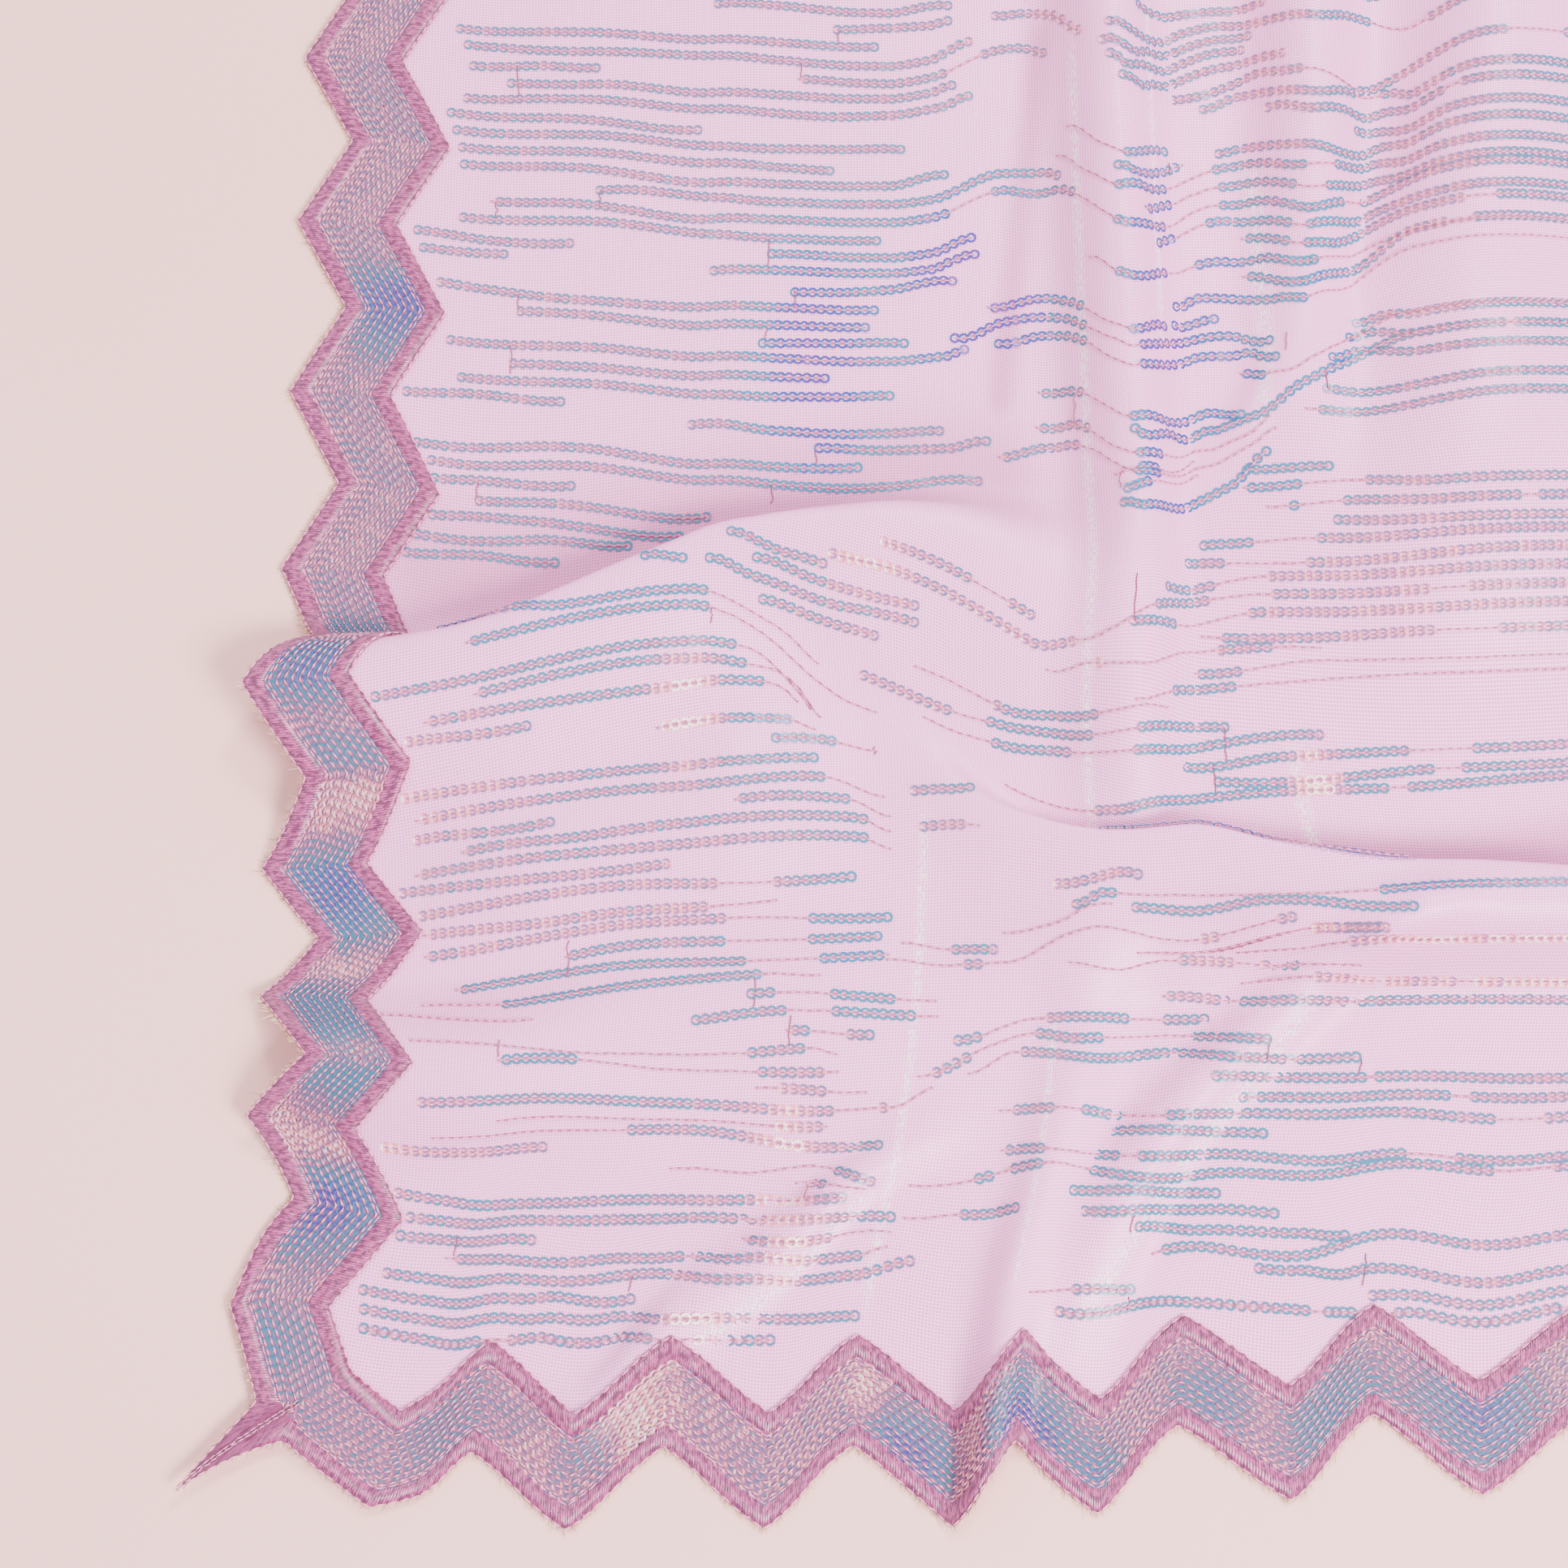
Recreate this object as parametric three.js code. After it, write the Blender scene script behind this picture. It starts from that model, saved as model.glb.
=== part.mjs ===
// A net saree laid out flat in one layer: a long net cloth whose two long edges and
// pallu end carry a zigzag border, with the soft folds that the cloth was left in.
// Millimetres, +X along the length away from the pallu, +Y across the width, +Z up.
import * as THREE from "three";

// ---- driving sizes ----------------------------------------------------------------
const PITCH = 59;                 // one zigzag of the border, point to point
const WAVES_ALONG = 93;           // zigzags along a long edge
const WAVES_ACROSS = 19;          // zigzags across the pallu end
const LENGTH = PITCH * WAVES_ALONG;
const WIDTH = PITCH * WAVES_ACROSS;
const NOTCH = 17;                 // how deep the outer edge cuts in between two points
const BAND = 33;                  // border width, square to the edge
const NET_WALL = 1;
const BORDER_WALL = 1;
const SEAM_GAP = 0.3;             // between the net and the border laid on it
const MITRE_GAP = 0.3;            // between two borders where they meet at a corner
const NET_COLOUR = 0xe8cde1;
const BORDER_COLOUR = 0xc482a8;

// ---- where the cut is sampled -----------------------------------------------------
const HALF_PITCH = PITCH / 2;
const CORNER_STEP = PITCH * 1.5;  // first line of the net past the corner
const PALLU_END = PITCH * 10;     // the closely folded stretch ends here
const FOLDED_WIDTH = PITCH * 12;  // and here across the width
const SETTLED = 1500;             // past this the cloth lies square again
const BODY_STEP = 140;            // between lines across the flat body
const WAVE_CLEAR = 1.4;           // even columns keep this many half widths off a wave
const SLOPE_STEP = 0.4;           // for the slopes that give the cloth's normals
const SAME_PLACE = 0.01;          // places closer than this are one

// ---- folds ------------------------------------------------------------------------
// Each list in a column holds [place, value] pairs: a place along the fold, in mm of
// the cut cloth from the pallu corner, and the value there.
// take: cloth taken up across the fold. rise: height of its crest. half: half the
// stretch of cloth that the take-up is spread over.
const steady = (value) => [[0, value], [1, value]];
const LONG_FOLDS = [
  { name: "main overlap", crest: -25, back: 60, front: 50, half: [[120, 20], [170, 23]],
    line: [[0, 319], [60, 320], [120, 328], [163, 340], [204, 353], [235, 358], [320, 362]],
    take: [[0, 14], [30, 20], [62, 32], [96, 40], [140, 45], [163, 42], [204, 28], [235, 20],
      [265, 8], [295, 0]],
    rise: [[0, 20], [62, 19], [163, 17], [235, 13], [275, 7], [315, 0]] },
  { name: "right overlap", crest: -24, back: 42, front: 50,
    half: [[163, 50], [215, 36], [270, 24], [330, 20], [380, 20], [560, 60], [760, 250],
      [900, 300]],
    line: [[163, 262], [178, 258], [215, 246], [235, 236], [272, 231], [300, 231], [330, 223],
      [380, 214], [470, 212]],
    take: [[140, 0], [163, 6], [190, 18], [215, 28], [235, 36], [270, 48], [328, 56], [400, 62],
      [600, 56]],
    rise: [[190, 0], [240, 7], [300, 13], [378, 18], [470, 17], [560, 0]] },
  { name: "edge wave", crest: -4, back: 52, front: 44, half: steady(70), line: steady(150),
    take: [[0, 36], [60, 27], [130, 12], [230, 0]],
    rise: [[0, 15], [60, 15], [130, 9], [220, 4], [300, 0]] },
  { name: "belly", crest: 6, back: 55, front: 60, half: steady(40), line: steady(222),
    take: [[0, 10], [60, 8], [130, 4], [200, 0]],
    rise: [[30, 0], [90, 9], [145, 9], [200, 0]] },
  { name: "swell", crest: 0, back: 55, front: 70, half: steady(40), line: steady(365),
    take: steady(0),
    rise: [[300, 0], [370, 9], [480, 9], [585, 0]] },
  { name: "ripple", crest: 0, back: 26, front: 24, half: steady(24), line: steady(172),
    take: [[220, 0], [290, 8], [400, 6], [560, 0]],
    rise: [[210, 0], [260, 6], [330, 8], [460, 5], [560, 0]] },
  { name: "eased net", crest: 0, back: 40, front: 40, half: steady(40), line: steady(400),
    take: [[0, -2], [62, -4], [96, -3], [163, 2], [204, 6], [265, 8], [330, 0]],
    rise: steady(0) },
];
// sway: how far the crest is pushed along +Y. lift: how far all past the fold is.
const CROSS_FOLDS = [
  { name: "tall ridge", left: 34, right: 27, half: 36,
    line: [[150, 255], [240, 280], [330, 290], [440, 286], [560, 283], [720, 275]],
    take: [[150, 0], [300, 10], [700, 8], [900, 0]],
    rise: [[225, 0], [300, 11], [400, 17], [600, 18], [720, 0]],
    sway: [[300, 0], [380, 4], [600, 5], [720, 0]], lift: steady(0) },
  { name: "slanted crease", left: 34, right: 26, half: 30,
    line: [[300, 275], [338, 290], [361, 304], [389, 322], [420, 350], [478, 384], [600, 420],
      [720, 440]],
    take: [[300, 0], [400, 6], [600, 0]], rise: steady(0), sway: steady(0),
    lift: [[285, 0], [330, 12], [420, 22], [520, 14], [700, 0]] },
  { name: "short ridge", left: 30, right: 26, half: 36,
    line: [[330, 350], [430, 358], [520, 362], [600, 364], [720, 368]],
    take: [[400, 0], [450, 6], [700, 6], [900, 0]],
    rise: [[370, 0], [430, 9], [520, 14], [620, 14], [720, 0]],
    sway: [[370, 0], [450, 3], [600, 4], [720, 0]], lift: steady(0) },
  { name: "broad ridge", left: 46, right: 60, half: 60,
    line: [[300, 400], [400, 420], [480, 432], [600, 440], [720, 444]],
    take: [[360, 0], [500, 10], [700, 6], [900, 0]],
    rise: [[280, 0], [360, 8], [520, 17], [640, 14], [720, 0]],
    sway: steady(0), lift: steady(0) },
  { name: "hem ridge", left: 22, right: 22, half: 26,
    line: [[0, 253], [60, 257], [150, 268]],
    take: [[0, 16], [100, 8], [200, 0]],
    rise: [[0, 10], [60, 9], [150, 4], [220, 0]],
    sway: steady(0), lift: steady(0) },
  { name: "left slant", left: 20, right: 20, half: 26,
    line: [[20, 112], [49, 142], [92, 188], [120, 220]],
    take: steady(0), rise: [[10, 0], [50, 6], [92, 6], [130, 0]],
    sway: steady(0), lift: steady(0) },
  { name: "right slant", left: 24, right: 24, half: 26,
    line: [[30, 275], [60, 282], [100, 296], [150, 338], [190, 380]],
    take: steady(0), rise: [[20, 0], [60, 5], [100, 8], [150, 8], [200, 0]],
    sway: steady(0), lift: steady(0) },
];
// Low waves across the rest of the cloth. at: place along the length at mid width,
// lean: how far one end lies further along than the other, from and to: across.
const BODY_WAVES = [
  { at: 860, lean: 90, rise: 9, half: 62, from: 150, to: 1010 },
  { at: 1230, lean: -70, rise: 7, half: 56, from: 60, to: 700 },
  { at: 1600, lean: 60, rise: 10, half: 70, from: 380, to: 1121 },
  { at: 1990, lean: -90, rise: 8, half: 58, from: 0, to: 760 },
  { at: 2410, lean: 50, rise: 11, half: 72, from: 200, to: 1060 },
  { at: 2850, lean: 110, rise: 7, half: 54, from: 420, to: 1121 },
  { at: 3240, lean: -60, rise: 9, half: 66, from: 0, to: 820 },
  { at: 3690, lean: -110, rise: 8, half: 60, from: 260, to: 1121 },
  { at: 4120, lean: 70, rise: 10, half: 70, from: 0, to: 900 },
  { at: 4560, lean: -40, rise: 7, half: 56, from: 330, to: 1080 },
  { at: 5010, lean: 60, rise: 9, half: 64, from: 120, to: 960 },
];
// How the edges were pulled out of line near the pallu corner. A shift fades over its
// reach from the edge.
const HEM_PULL = { reach: 400, shift: [[0, 10], [60, 0], [120, 2], [240, 3], [300, 7], [400, 12],
  [700, 0]] };                    // the hem, along +Y
const HEM_DRAW = { reach: 160, shift: [[0, 2], [59, 4], [88, -2], [118, -2], [147, -4],
  [177, -3], [206, -7], [236, -5], [265, -6], [295, -7], [324, -13], [354, -9], [383, -14],
  [420, -11], [600, -6], [900, 0]] };  // the hem, along +X
const HEM_LEAN = { at: 70, before: 60, after: 200,
  shift: [[60, 0], [147, 4.5], [420, 5], [700, 0]] };  // the border's inner edge, along -X
const HEM_POINTS = { reach: 150, deeper: 6.5, share: [[60, 0], [90, 1]] };
const END_PULL = { reach: 500, shift: [[0, 0], [60, 9], [120, 18], [180, 20], [236, 18], [300, 13],
  [360, 20], [900, 20], [1121, 8]] };  // the pallu end, along +X
const TIP = { reach: 95, pinch: 0.45, rise: 4 };  // the corner point is pinched and lifted

// ---- the shapes a fold is made of -------------------------------------------------
const clamp = (x, low, high) => Math.min(high, Math.max(low, x));

/** A smooth curve through [place, value] pairs that never overshoots them. */
function through(pairs, place) {
  const last = pairs.length - 1;
  if (place <= pairs[0][0]) return pairs[0][1];
  if (place >= pairs[last][0]) return pairs[last][1];
  const slope = (i) => (pairs[i + 1][1] - pairs[i][1]) / (pairs[i + 1][0] - pairs[i][0]);
  const tangent = (i) => {
    if (i === 0 || i === last) return 0;
    const before = slope(i - 1), after = slope(i);
    return before * after > 0 ? 2 * before * after / (before + after) : 0;
  };
  let i = 0;
  while (pairs[i + 1][0] < place) i += 1;
  const gap = pairs[i + 1][0] - pairs[i][0];
  const t = (place - pairs[i][0]) / gap;
  return (1 + 2 * t) * (1 - t) ** 2 * pairs[i][1] + t * (1 - t) ** 2 * gap * tangent(i)
    + t * t * (3 - 2 * t) * pairs[i + 1][1] + t * t * (t - 1) * gap * tangent(i + 1);
}

/** 0 to 1, smooth, as x goes from -1 to 1. */
const step = (x) => { const c = clamp(x, -1, 1); return 0.5 + 0.75 * c - 0.25 * c ** 3; };

/** A soft bump, 1 at 0 and level at 0 from 1 on. */
const bump = (x) => (1 - clamp(x, -1, 1) ** 2) ** 2;

/** A bump with one length before its crest and another after it. */
const crest = (s, before, after) => bump(s < 0 ? s / before : s / after);

/** Place of the laid cloth's middle surface for a point of the cut cloth. */
function lay(along, across) {
  const [a, b, tipRise] = pinchTip(along, across);
  const loose = 1 - step((a - (PALLU_END + SETTLED) / 2) / ((SETTLED - PALLU_END) / 2));
  let x = a, y = b, z = NET_WALL / 2 + tipRise;
  for (const fold of LONG_FOLDS) {
    const s = b - through(fold.line, a);
    y -= loose * through(fold.take, a) * step(s / through(fold.half, a));
    z += through(fold.rise, a) * crest(s - fold.crest, fold.back, fold.front);
  }
  for (const fold of CROSS_FOLDS) {
    const s = a - through(fold.line, b);
    const profile = crest(s, fold.left, fold.right);
    x -= loose * through(fold.take, b) * step(s / fold.half);
    y += through(fold.sway, b) * profile + loose * through(fold.lift, b) * step(s / fold.half);
    z += through(fold.rise, b) * profile;
  }
  for (const wave of BODY_WAVES) {
    const s = a - wave.at - wave.lean * (b / WIDTH - 0.5);
    const middle = (wave.from + wave.to) / 2;
    z += wave.rise * bump(s / wave.half) * bump((b - middle) / (wave.to - middle));
  }
  const [pullX, pullY] = edgePull(a, b);
  return new THREE.Vector3(x + pullX, y + pullY, z);
}

/** How far the pulls on the hem and the pallu end move a point, along X and Y. */
function edgePull(a, b) {
  const lean = crest(b - HEM_LEAN.at, HEM_LEAN.before, HEM_LEAN.after);
  const point = Math.cos(2 * Math.PI * a / PITCH) * bump(b / HEM_POINTS.reach);
  return [
    through(END_PULL.shift, b) * bump(a / END_PULL.reach) - through(HEM_LEAN.shift, a) * lean
      + through(HEM_DRAW.shift, a) * bump(b / HEM_DRAW.reach),
    through(HEM_PULL.shift, a) * bump(b / HEM_PULL.reach)
      - HEM_POINTS.deeper / 2 * through(HEM_POINTS.share, a) * point,
  ];
}

/** The corner point of the pallu, narrowed towards its own middle and curled up. */
function pinchTip(along, across) {
  const near = bump((along + across) / TIP.reach);
  const off = (along - across) / 2 * TIP.pinch * near;
  return [along - off, across + off, TIP.rise * near];
}

function normalAt(a, b) {
  const alongA = lay(a + SLOPE_STEP, b).sub(lay(a - SLOPE_STEP, b));
  const alongB = lay(a, b + SLOPE_STEP).sub(lay(a, b - SLOPE_STEP));
  return alongA.cross(alongB).normalize();
}

// ---- the flat cut, as triangles ---------------------------------------------------
const pointKey = ([a, b]) => `${a.toFixed(3)} ${b.toFixed(3)}`;

class Cut {
  points = [];
  faces = [];
  known = new Map();

  corner(point) {
    const key = pointKey(point);
    if (!this.known.has(key)) {
      this.known.set(key, this.points.length);
      this.points.push(point);
    }
    return this.known.get(key);
  }

  face(p, q, r) {
    const area = (q[0] - p[0]) * (r[1] - p[1]) - (r[0] - p[0]) * (q[1] - p[1]);
    const order = area > 0 ? [p, q, r] : [p, r, q];
    this.faces.push(order.map((point) => this.corner(point)));
  }

  /** Quads between two lines with a point for a point, split on the short diagonal. */
  ribbon(one, two) {
    for (let i = 0; i + 1 < one.length; i += 1) {
      const [p, q, r, s] = [one[i], one[i + 1], two[i + 1], two[i]];
      if (Math.hypot(p[0] - r[0], p[1] - r[1]) < Math.hypot(q[0] - s[0], q[1] - s[1])) {
        this.face(p, q, r);
        this.face(p, r, s);
      } else {
        this.face(p, q, s);
        this.face(q, r, s);
      }
    }
  }

  /** Triangles between two lines whose points don't pair up. axis: 0 along, 1 across. */
  zip(one, two, axis) {
    const middle = (line, i) => (i + 1 < line.length
      ? (line[i][axis] + line[i + 1][axis]) / 2 : Infinity);
    let i = 0, j = 0;
    while (i + 1 < one.length || j + 1 < two.length) {
      if (middle(one, i) <= middle(two, j)) {
        this.face(one[i], one[i + 1], two[j]);
        i += 1;
      } else {
        this.face(one[i], two[j + 1], two[j]);
        j += 1;
      }
    }
  }

  fan(centre, ring) {
    for (let i = 0; i + 1 < ring.length; i += 1) this.face(centre, ring[i], ring[i + 1]);
  }
}

// ---- the lines of the cut ---------------------------------------------------------
/** How far the outer edge lies in from the points, at a place along it. */
function notch(place) {
  const phase = (place / PITCH) % 1;
  return NOTCH * (1 - Math.abs(2 * phase - 1));
}

const evenly = (from, to, spacing) => {
  const count = Math.round((to - from) / spacing);
  return Array.from({ length: count + 1 }, (_, i) => from + i * (to - from) / count);
};
const ascending = (values) => values.sort((p, q) => p - q)
  .filter((value, i, all) => i === 0 || value - all[i - 1] > SAME_PLACE);

// Places across the width: each turn of the zigzag, and close lines where it folds.
const RIGHT_FOLD_LINES = [184, 192, 199, 212, 217, 222, 227, 231.5, 240.5, 245, 251, 258];
const MAIN_FOLD_LINES = [278, 287, 302, 309, 314, 319, 329.5, 334, 339, 344, 349, 358.5, 363, 369,
  376];
const ACROSS = ascending([...evenly(CORNER_STEP, WIDTH - CORNER_STEP, HALF_PITCH),
  ...RIGHT_FOLD_LINES, ...MAIN_FOLD_LINES]);
const ACROSS_BODY = evenly(CORNER_STEP, WIDTH - CORNER_STEP, BODY_STEP);

// Places along the length of the pallu stretch: close where the cross folds are.
const ALONG_FINE = ascending([...evenly(CORNER_STEP, PITCH * 4, HALF_PITCH),
  ...evenly(PITCH * 4, PITCH * 7, HALF_PITCH / 2), ...evenly(PITCH * 7, PALLU_END, HALF_PITCH)]);
const ALONG_MAIN_FOLD = ascending([...ALONG_FINE,
  ...evenly(CORNER_STEP, PITCH * 4, HALF_PITCH / 2)]);
const ALONG_COARSE = [CORNER_STEP, PITCH * 3, PITCH * 5, PITCH * 7, PALLU_END];
const ALONG_BODY = bodyColumns();
const ALONG_TOP = evenly(CORNER_STEP, LENGTH, HALF_PITCH);
const ALONG_HEM = ascending([...ALONG_TOP, ...evenly(PITCH * 4, PITCH * 5, HALF_PITCH / 2)]);

/** Places along a line of the pallu stretch, closest where the main overlap crosses it. */
function placesAlong(across) {
  if (across > FOLDED_WIDTH) return ALONG_COARSE;
  const isOnMainFold = across > MAIN_FOLD_LINES[0] && across < MAIN_FOLD_LINES.at(-1);
  return isOnMainFold ? ALONG_MAIN_FOLD : ALONG_FINE;
}

/** Columns of the body: an even spacing, and five on each wave. */
function bodyColumns() {
  const onWaves = BODY_WAVES.flatMap(({ at, half }) => [-1, -0.5, 0, 0.5, 1]
    .map((share) => at + share * half));
  const isClear = (place) => BODY_WAVES
    .every(({ at, half }) => Math.abs(place - at) > WAVE_CLEAR * half);
  const even = evenly(PALLU_END + PITCH, LENGTH, PITCH * 2).filter(isClear);
  return ascending([...even, ...onWaves, LENGTH]);
}

/** A body column leans with the waves on each side of it. */
function bodyPoint(column, across) {
  const leans = [[PALLU_END, 0], ...BODY_WAVES.map(({ at, lean }) => [at, lean]), [LENGTH, 0]];
  return [column + through(leans, column) * (across / WIDTH - 0.5), across];
}

const swap = ([a, b]) => [b, a];
const flip = ([a, b]) => [a, WIDTH - b];

/** The mitre at a corner: where a line at `depth` into the border meets its neighbour. */
function mitre(depth) {
  const rising = depth / (1 - NOTCH / HALF_PITCH);
  const falling = (2 * NOTCH + depth) / (1 + NOTCH / HALF_PITCH);
  return rising <= HALF_PITCH ? rising : falling;
}

/** The first three points of a border line at `depth` into the band, from a mitre on. */
function cornerPoints(depth, gap) {
  const first = mitre(depth);
  const second = depth === 0 ? HALF_PITCH : (first + PITCH) / 2;
  return [[first + gap, first], ...[second, PITCH].map((place) => [place, notch(place) + depth])];
}

/** A long border's outer and inner lines from the corner on, for places along it. */
function longLines(places, gap = 0) {
  return [0, BAND].map((depth) => [...cornerPoints(depth, gap),
    ...places.map((place) => [place, notch(place) + depth])]);
}

/** The pallu border's lines run from the hem corner to the top one. */
function endLines(gap = 0) {
  return [0, BAND].map((depth) => {
    const low = cornerPoints(depth, gap).map(swap);
    const between = ACROSS.map((across) => [notch(across) + depth, across]);
    return [...low, ...between, ...low.map(flip).reverse()];
  });
}

// ---- the pieces -------------------------------------------------------------------
/** One closed wall between two heights off the cloth's middle surface. */
function wall(name, cut, low, high, colour, roughness) {
  const level = (height) => cut.points.flatMap(([a, b]) => lay(a, b)
    .addScaledVector(normalAt(a, b), height).toArray());
  const top = cut.points.length;
  const index = [];
  const used = new Set(cut.faces.flatMap(([p, q, r]) => [`${p} ${q}`, `${q} ${r}`, `${r} ${p}`]));
  for (const [p, q, r] of cut.faces) {
    index.push(p + top, q + top, r + top, r, q, p);
    for (const [from, to] of [[p, q], [q, r], [r, p]]) {
      if (used.has(`${to} ${from}`)) continue;
      index.push(from, to, to + top, from, to + top, from + top);
    }
  }
  const geometry = new THREE.BufferGeometry();
  const positions = [...level(low), ...level(high)];
  geometry.setAttribute("position", new THREE.Float32BufferAttribute(positions, 3));
  geometry.setIndex(index);
  geometry.computeVertexNormals();
  const material = new THREE.MeshStandardMaterial({ color: colour, roughness, metalness: 0 });
  const mesh = new THREE.Mesh(geometry, material);
  mesh.name = name;
  return mesh;
}

function makeNet() {
  const cut = new Cut();
  const [endOuter, endInner] = endLines();
  const [hemOuter, hemInner] = longLines(ALONG_HEM);
  const [topOuter, topInner] = longLines(ALONG_TOP).map((line) => line.map(flip));
  cut.ribbon(endOuter, endInner);
  cut.ribbon(hemOuter, hemInner);
  cut.ribbon(topOuter, topInner);

  const rows = ACROSS.map((across) => [[notch(across) + BAND, across],
    ...placesAlong(across).map((along) => [along, across])]);
  for (let i = 0; i + 1 < rows.length; i += 1) cut.zip(rows[i], rows[i + 1], 0);

  const columns = ALONG_BODY.map((column) => ACROSS_BODY.map((b) => bodyPoint(column, b)));
  cut.zip(ACROSS.map((across) => [PALLU_END, across]), columns[0], 1);
  for (let i = 0; i + 1 < columns.length; i += 1) cut.ribbon(columns[i], columns[i + 1]);

  const isPast = ([a]) => a >= CORNER_STEP;
  const hemSide = [...rows[0].slice(1), ...columns.map((column) => column[0])];
  const topSide = [...rows.at(-1).slice(1), ...columns.map((column) => column.at(-1))];
  cut.zip(hemInner.filter(isPast), hemSide, 0);
  cut.zip(topInner.filter(isPast), topSide, 0);

  const cornerRing = (line) => line.filter(([a]) => a <= CORNER_STEP);
  const ring = [...cornerRing(hemInner).reverse(), ...cornerRing(hemInner).map(swap).slice(1)];
  const centre = [CORNER_STEP, CORNER_STEP];
  cut.fan(centre, ring);
  cut.fan(flip(centre), ring.map(flip));
  return wall("net", cut, -NET_WALL / 2, NET_WALL / 2, NET_COLOUR, 0.6);
}

function makeBorder(name, outer, inner) {
  const cut = new Cut();
  cut.ribbon(outer, inner);
  const seat = NET_WALL / 2 + SEAM_GAP;
  return wall(name, cut, seat, seat + BORDER_WALL, BORDER_COLOUR, 0.5);
}

function makeSaree() {
  const gap = MITRE_GAP * Math.SQRT1_2;
  const saree = new THREE.Group();
  saree.add(makeNet());
  saree.add(makeBorder("border_pallu", ...endLines(gap)));
  saree.add(makeBorder("border_hem", ...longLines(ALONG_HEM, gap)));
  saree.add(makeBorder("border_top",
    ...longLines(ALONG_TOP, gap).map((line) => line.map(flip))));

  // The origin is at the middle of the underside of the whole piece.
  const box = new THREE.Box3().setFromObject(saree);
  const middle = box.getCenter(new THREE.Vector3());
  saree.position.set(-middle.x, -middle.y, -box.min.z);
  return saree;
}

export default makeSaree();
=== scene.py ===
"""Net saree laid flat: net cloth, zigzag satin borders, sequins and chain-stitch threads."""

import bpy
import numpy as np
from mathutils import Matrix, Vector


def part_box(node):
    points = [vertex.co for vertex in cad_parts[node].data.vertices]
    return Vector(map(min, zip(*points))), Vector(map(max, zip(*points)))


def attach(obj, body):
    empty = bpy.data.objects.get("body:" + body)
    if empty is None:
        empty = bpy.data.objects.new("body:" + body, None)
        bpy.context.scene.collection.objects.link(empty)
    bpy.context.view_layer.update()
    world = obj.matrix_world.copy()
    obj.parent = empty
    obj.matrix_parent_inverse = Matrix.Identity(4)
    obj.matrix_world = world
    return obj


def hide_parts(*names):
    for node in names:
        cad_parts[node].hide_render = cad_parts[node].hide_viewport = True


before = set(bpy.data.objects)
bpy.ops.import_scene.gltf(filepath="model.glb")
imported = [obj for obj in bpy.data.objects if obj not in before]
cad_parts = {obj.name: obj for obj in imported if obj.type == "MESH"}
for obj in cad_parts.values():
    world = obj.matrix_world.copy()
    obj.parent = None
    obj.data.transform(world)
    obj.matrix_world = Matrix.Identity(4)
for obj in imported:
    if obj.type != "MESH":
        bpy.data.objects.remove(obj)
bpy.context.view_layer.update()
rng = np.random.default_rng(59)
MM = 0.001

# ---------------------------------------------------------------- the cut, in millimetres
PITCH = 59.0
HALF_PITCH = PITCH / 2
WAVES_ALONG = 93
WAVES_ACROSS = 19
LENGTH = WAVES_ALONG * PITCH
WIDTH = WAVES_ACROSS * PITCH
NOTCH = 17.0
BAND = 33.0
PALLU_END = 590.0
SETTLED = 1500.0
NET_MIDDLE = 0.5
CHEVRON_STRETCH = np.hypot(1, NOTCH / HALF_PITCH)

# The stretch whose stitches and sequins are modelled one by one.
SHOWN_ALONG = 531.0
SHOWN_ACROSS = 649.0


def steady(value):
    return [[0, value], [1, value]]


# How the cloth lies, as in the solids: each fold has a line, and how much cloth it takes up.
LONG_FOLDS = [
    dict(  # main overlap
        crest=-25, back=60, front=50, half=[[120, 20], [170, 23]],
        line=[[0, 319], [60, 320], [120, 328], [163, 340], [204, 353], [235, 358], [320, 362]],
        take=[[0, 14], [30, 20], [62, 32], [96, 40], [140, 45], [163, 42], [204, 28], [235, 20],
              [265, 8], [295, 0]],
        rise=[[0, 20], [62, 19], [163, 17], [235, 13], [275, 7], [315, 0]]),
    dict(  # right overlap
        crest=-24, back=42, front=50,
        half=[[163, 50], [215, 36], [270, 24], [330, 20], [380, 20], [560, 60], [760, 250],
              [900, 300]],
        line=[[163, 262], [178, 258], [215, 246], [235, 236], [272, 231], [300, 231], [330, 223],
              [380, 214], [470, 212]],
        take=[[140, 0], [163, 6], [190, 18], [215, 28], [235, 36], [270, 48], [328, 56],
              [400, 62], [600, 56]],
        rise=[[190, 0], [240, 7], [300, 13], [378, 18], [470, 17], [560, 0]]),
    dict(  # edge wave
        crest=-4, back=52, front=44, half=steady(70), line=steady(150),
        take=[[0, 36], [60, 27], [130, 12], [230, 0]],
        rise=[[0, 15], [60, 15], [130, 9], [220, 4], [300, 0]]),
    dict(  # belly
        crest=6, back=55, front=60, half=steady(40), line=steady(222),
        take=[[0, 10], [60, 8], [130, 4], [200, 0]],
        rise=[[30, 0], [90, 9], [145, 9], [200, 0]]),
    dict(  # swell
        crest=0, back=55, front=70, half=steady(40), line=steady(365),
        take=steady(0), rise=[[300, 0], [370, 9], [480, 9], [585, 0]]),
    dict(  # ripple
        crest=0, back=26, front=24, half=steady(24), line=steady(172),
        take=[[220, 0], [290, 8], [400, 6], [560, 0]],
        rise=[[210, 0], [260, 6], [330, 8], [460, 5], [560, 0]]),
    dict(  # eased net
        crest=0, back=40, front=40, half=steady(40), line=steady(400),
        take=[[0, -2], [62, -4], [96, -3], [163, 2], [204, 6], [265, 8], [330, 0]],
        rise=steady(0)),
]
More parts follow.
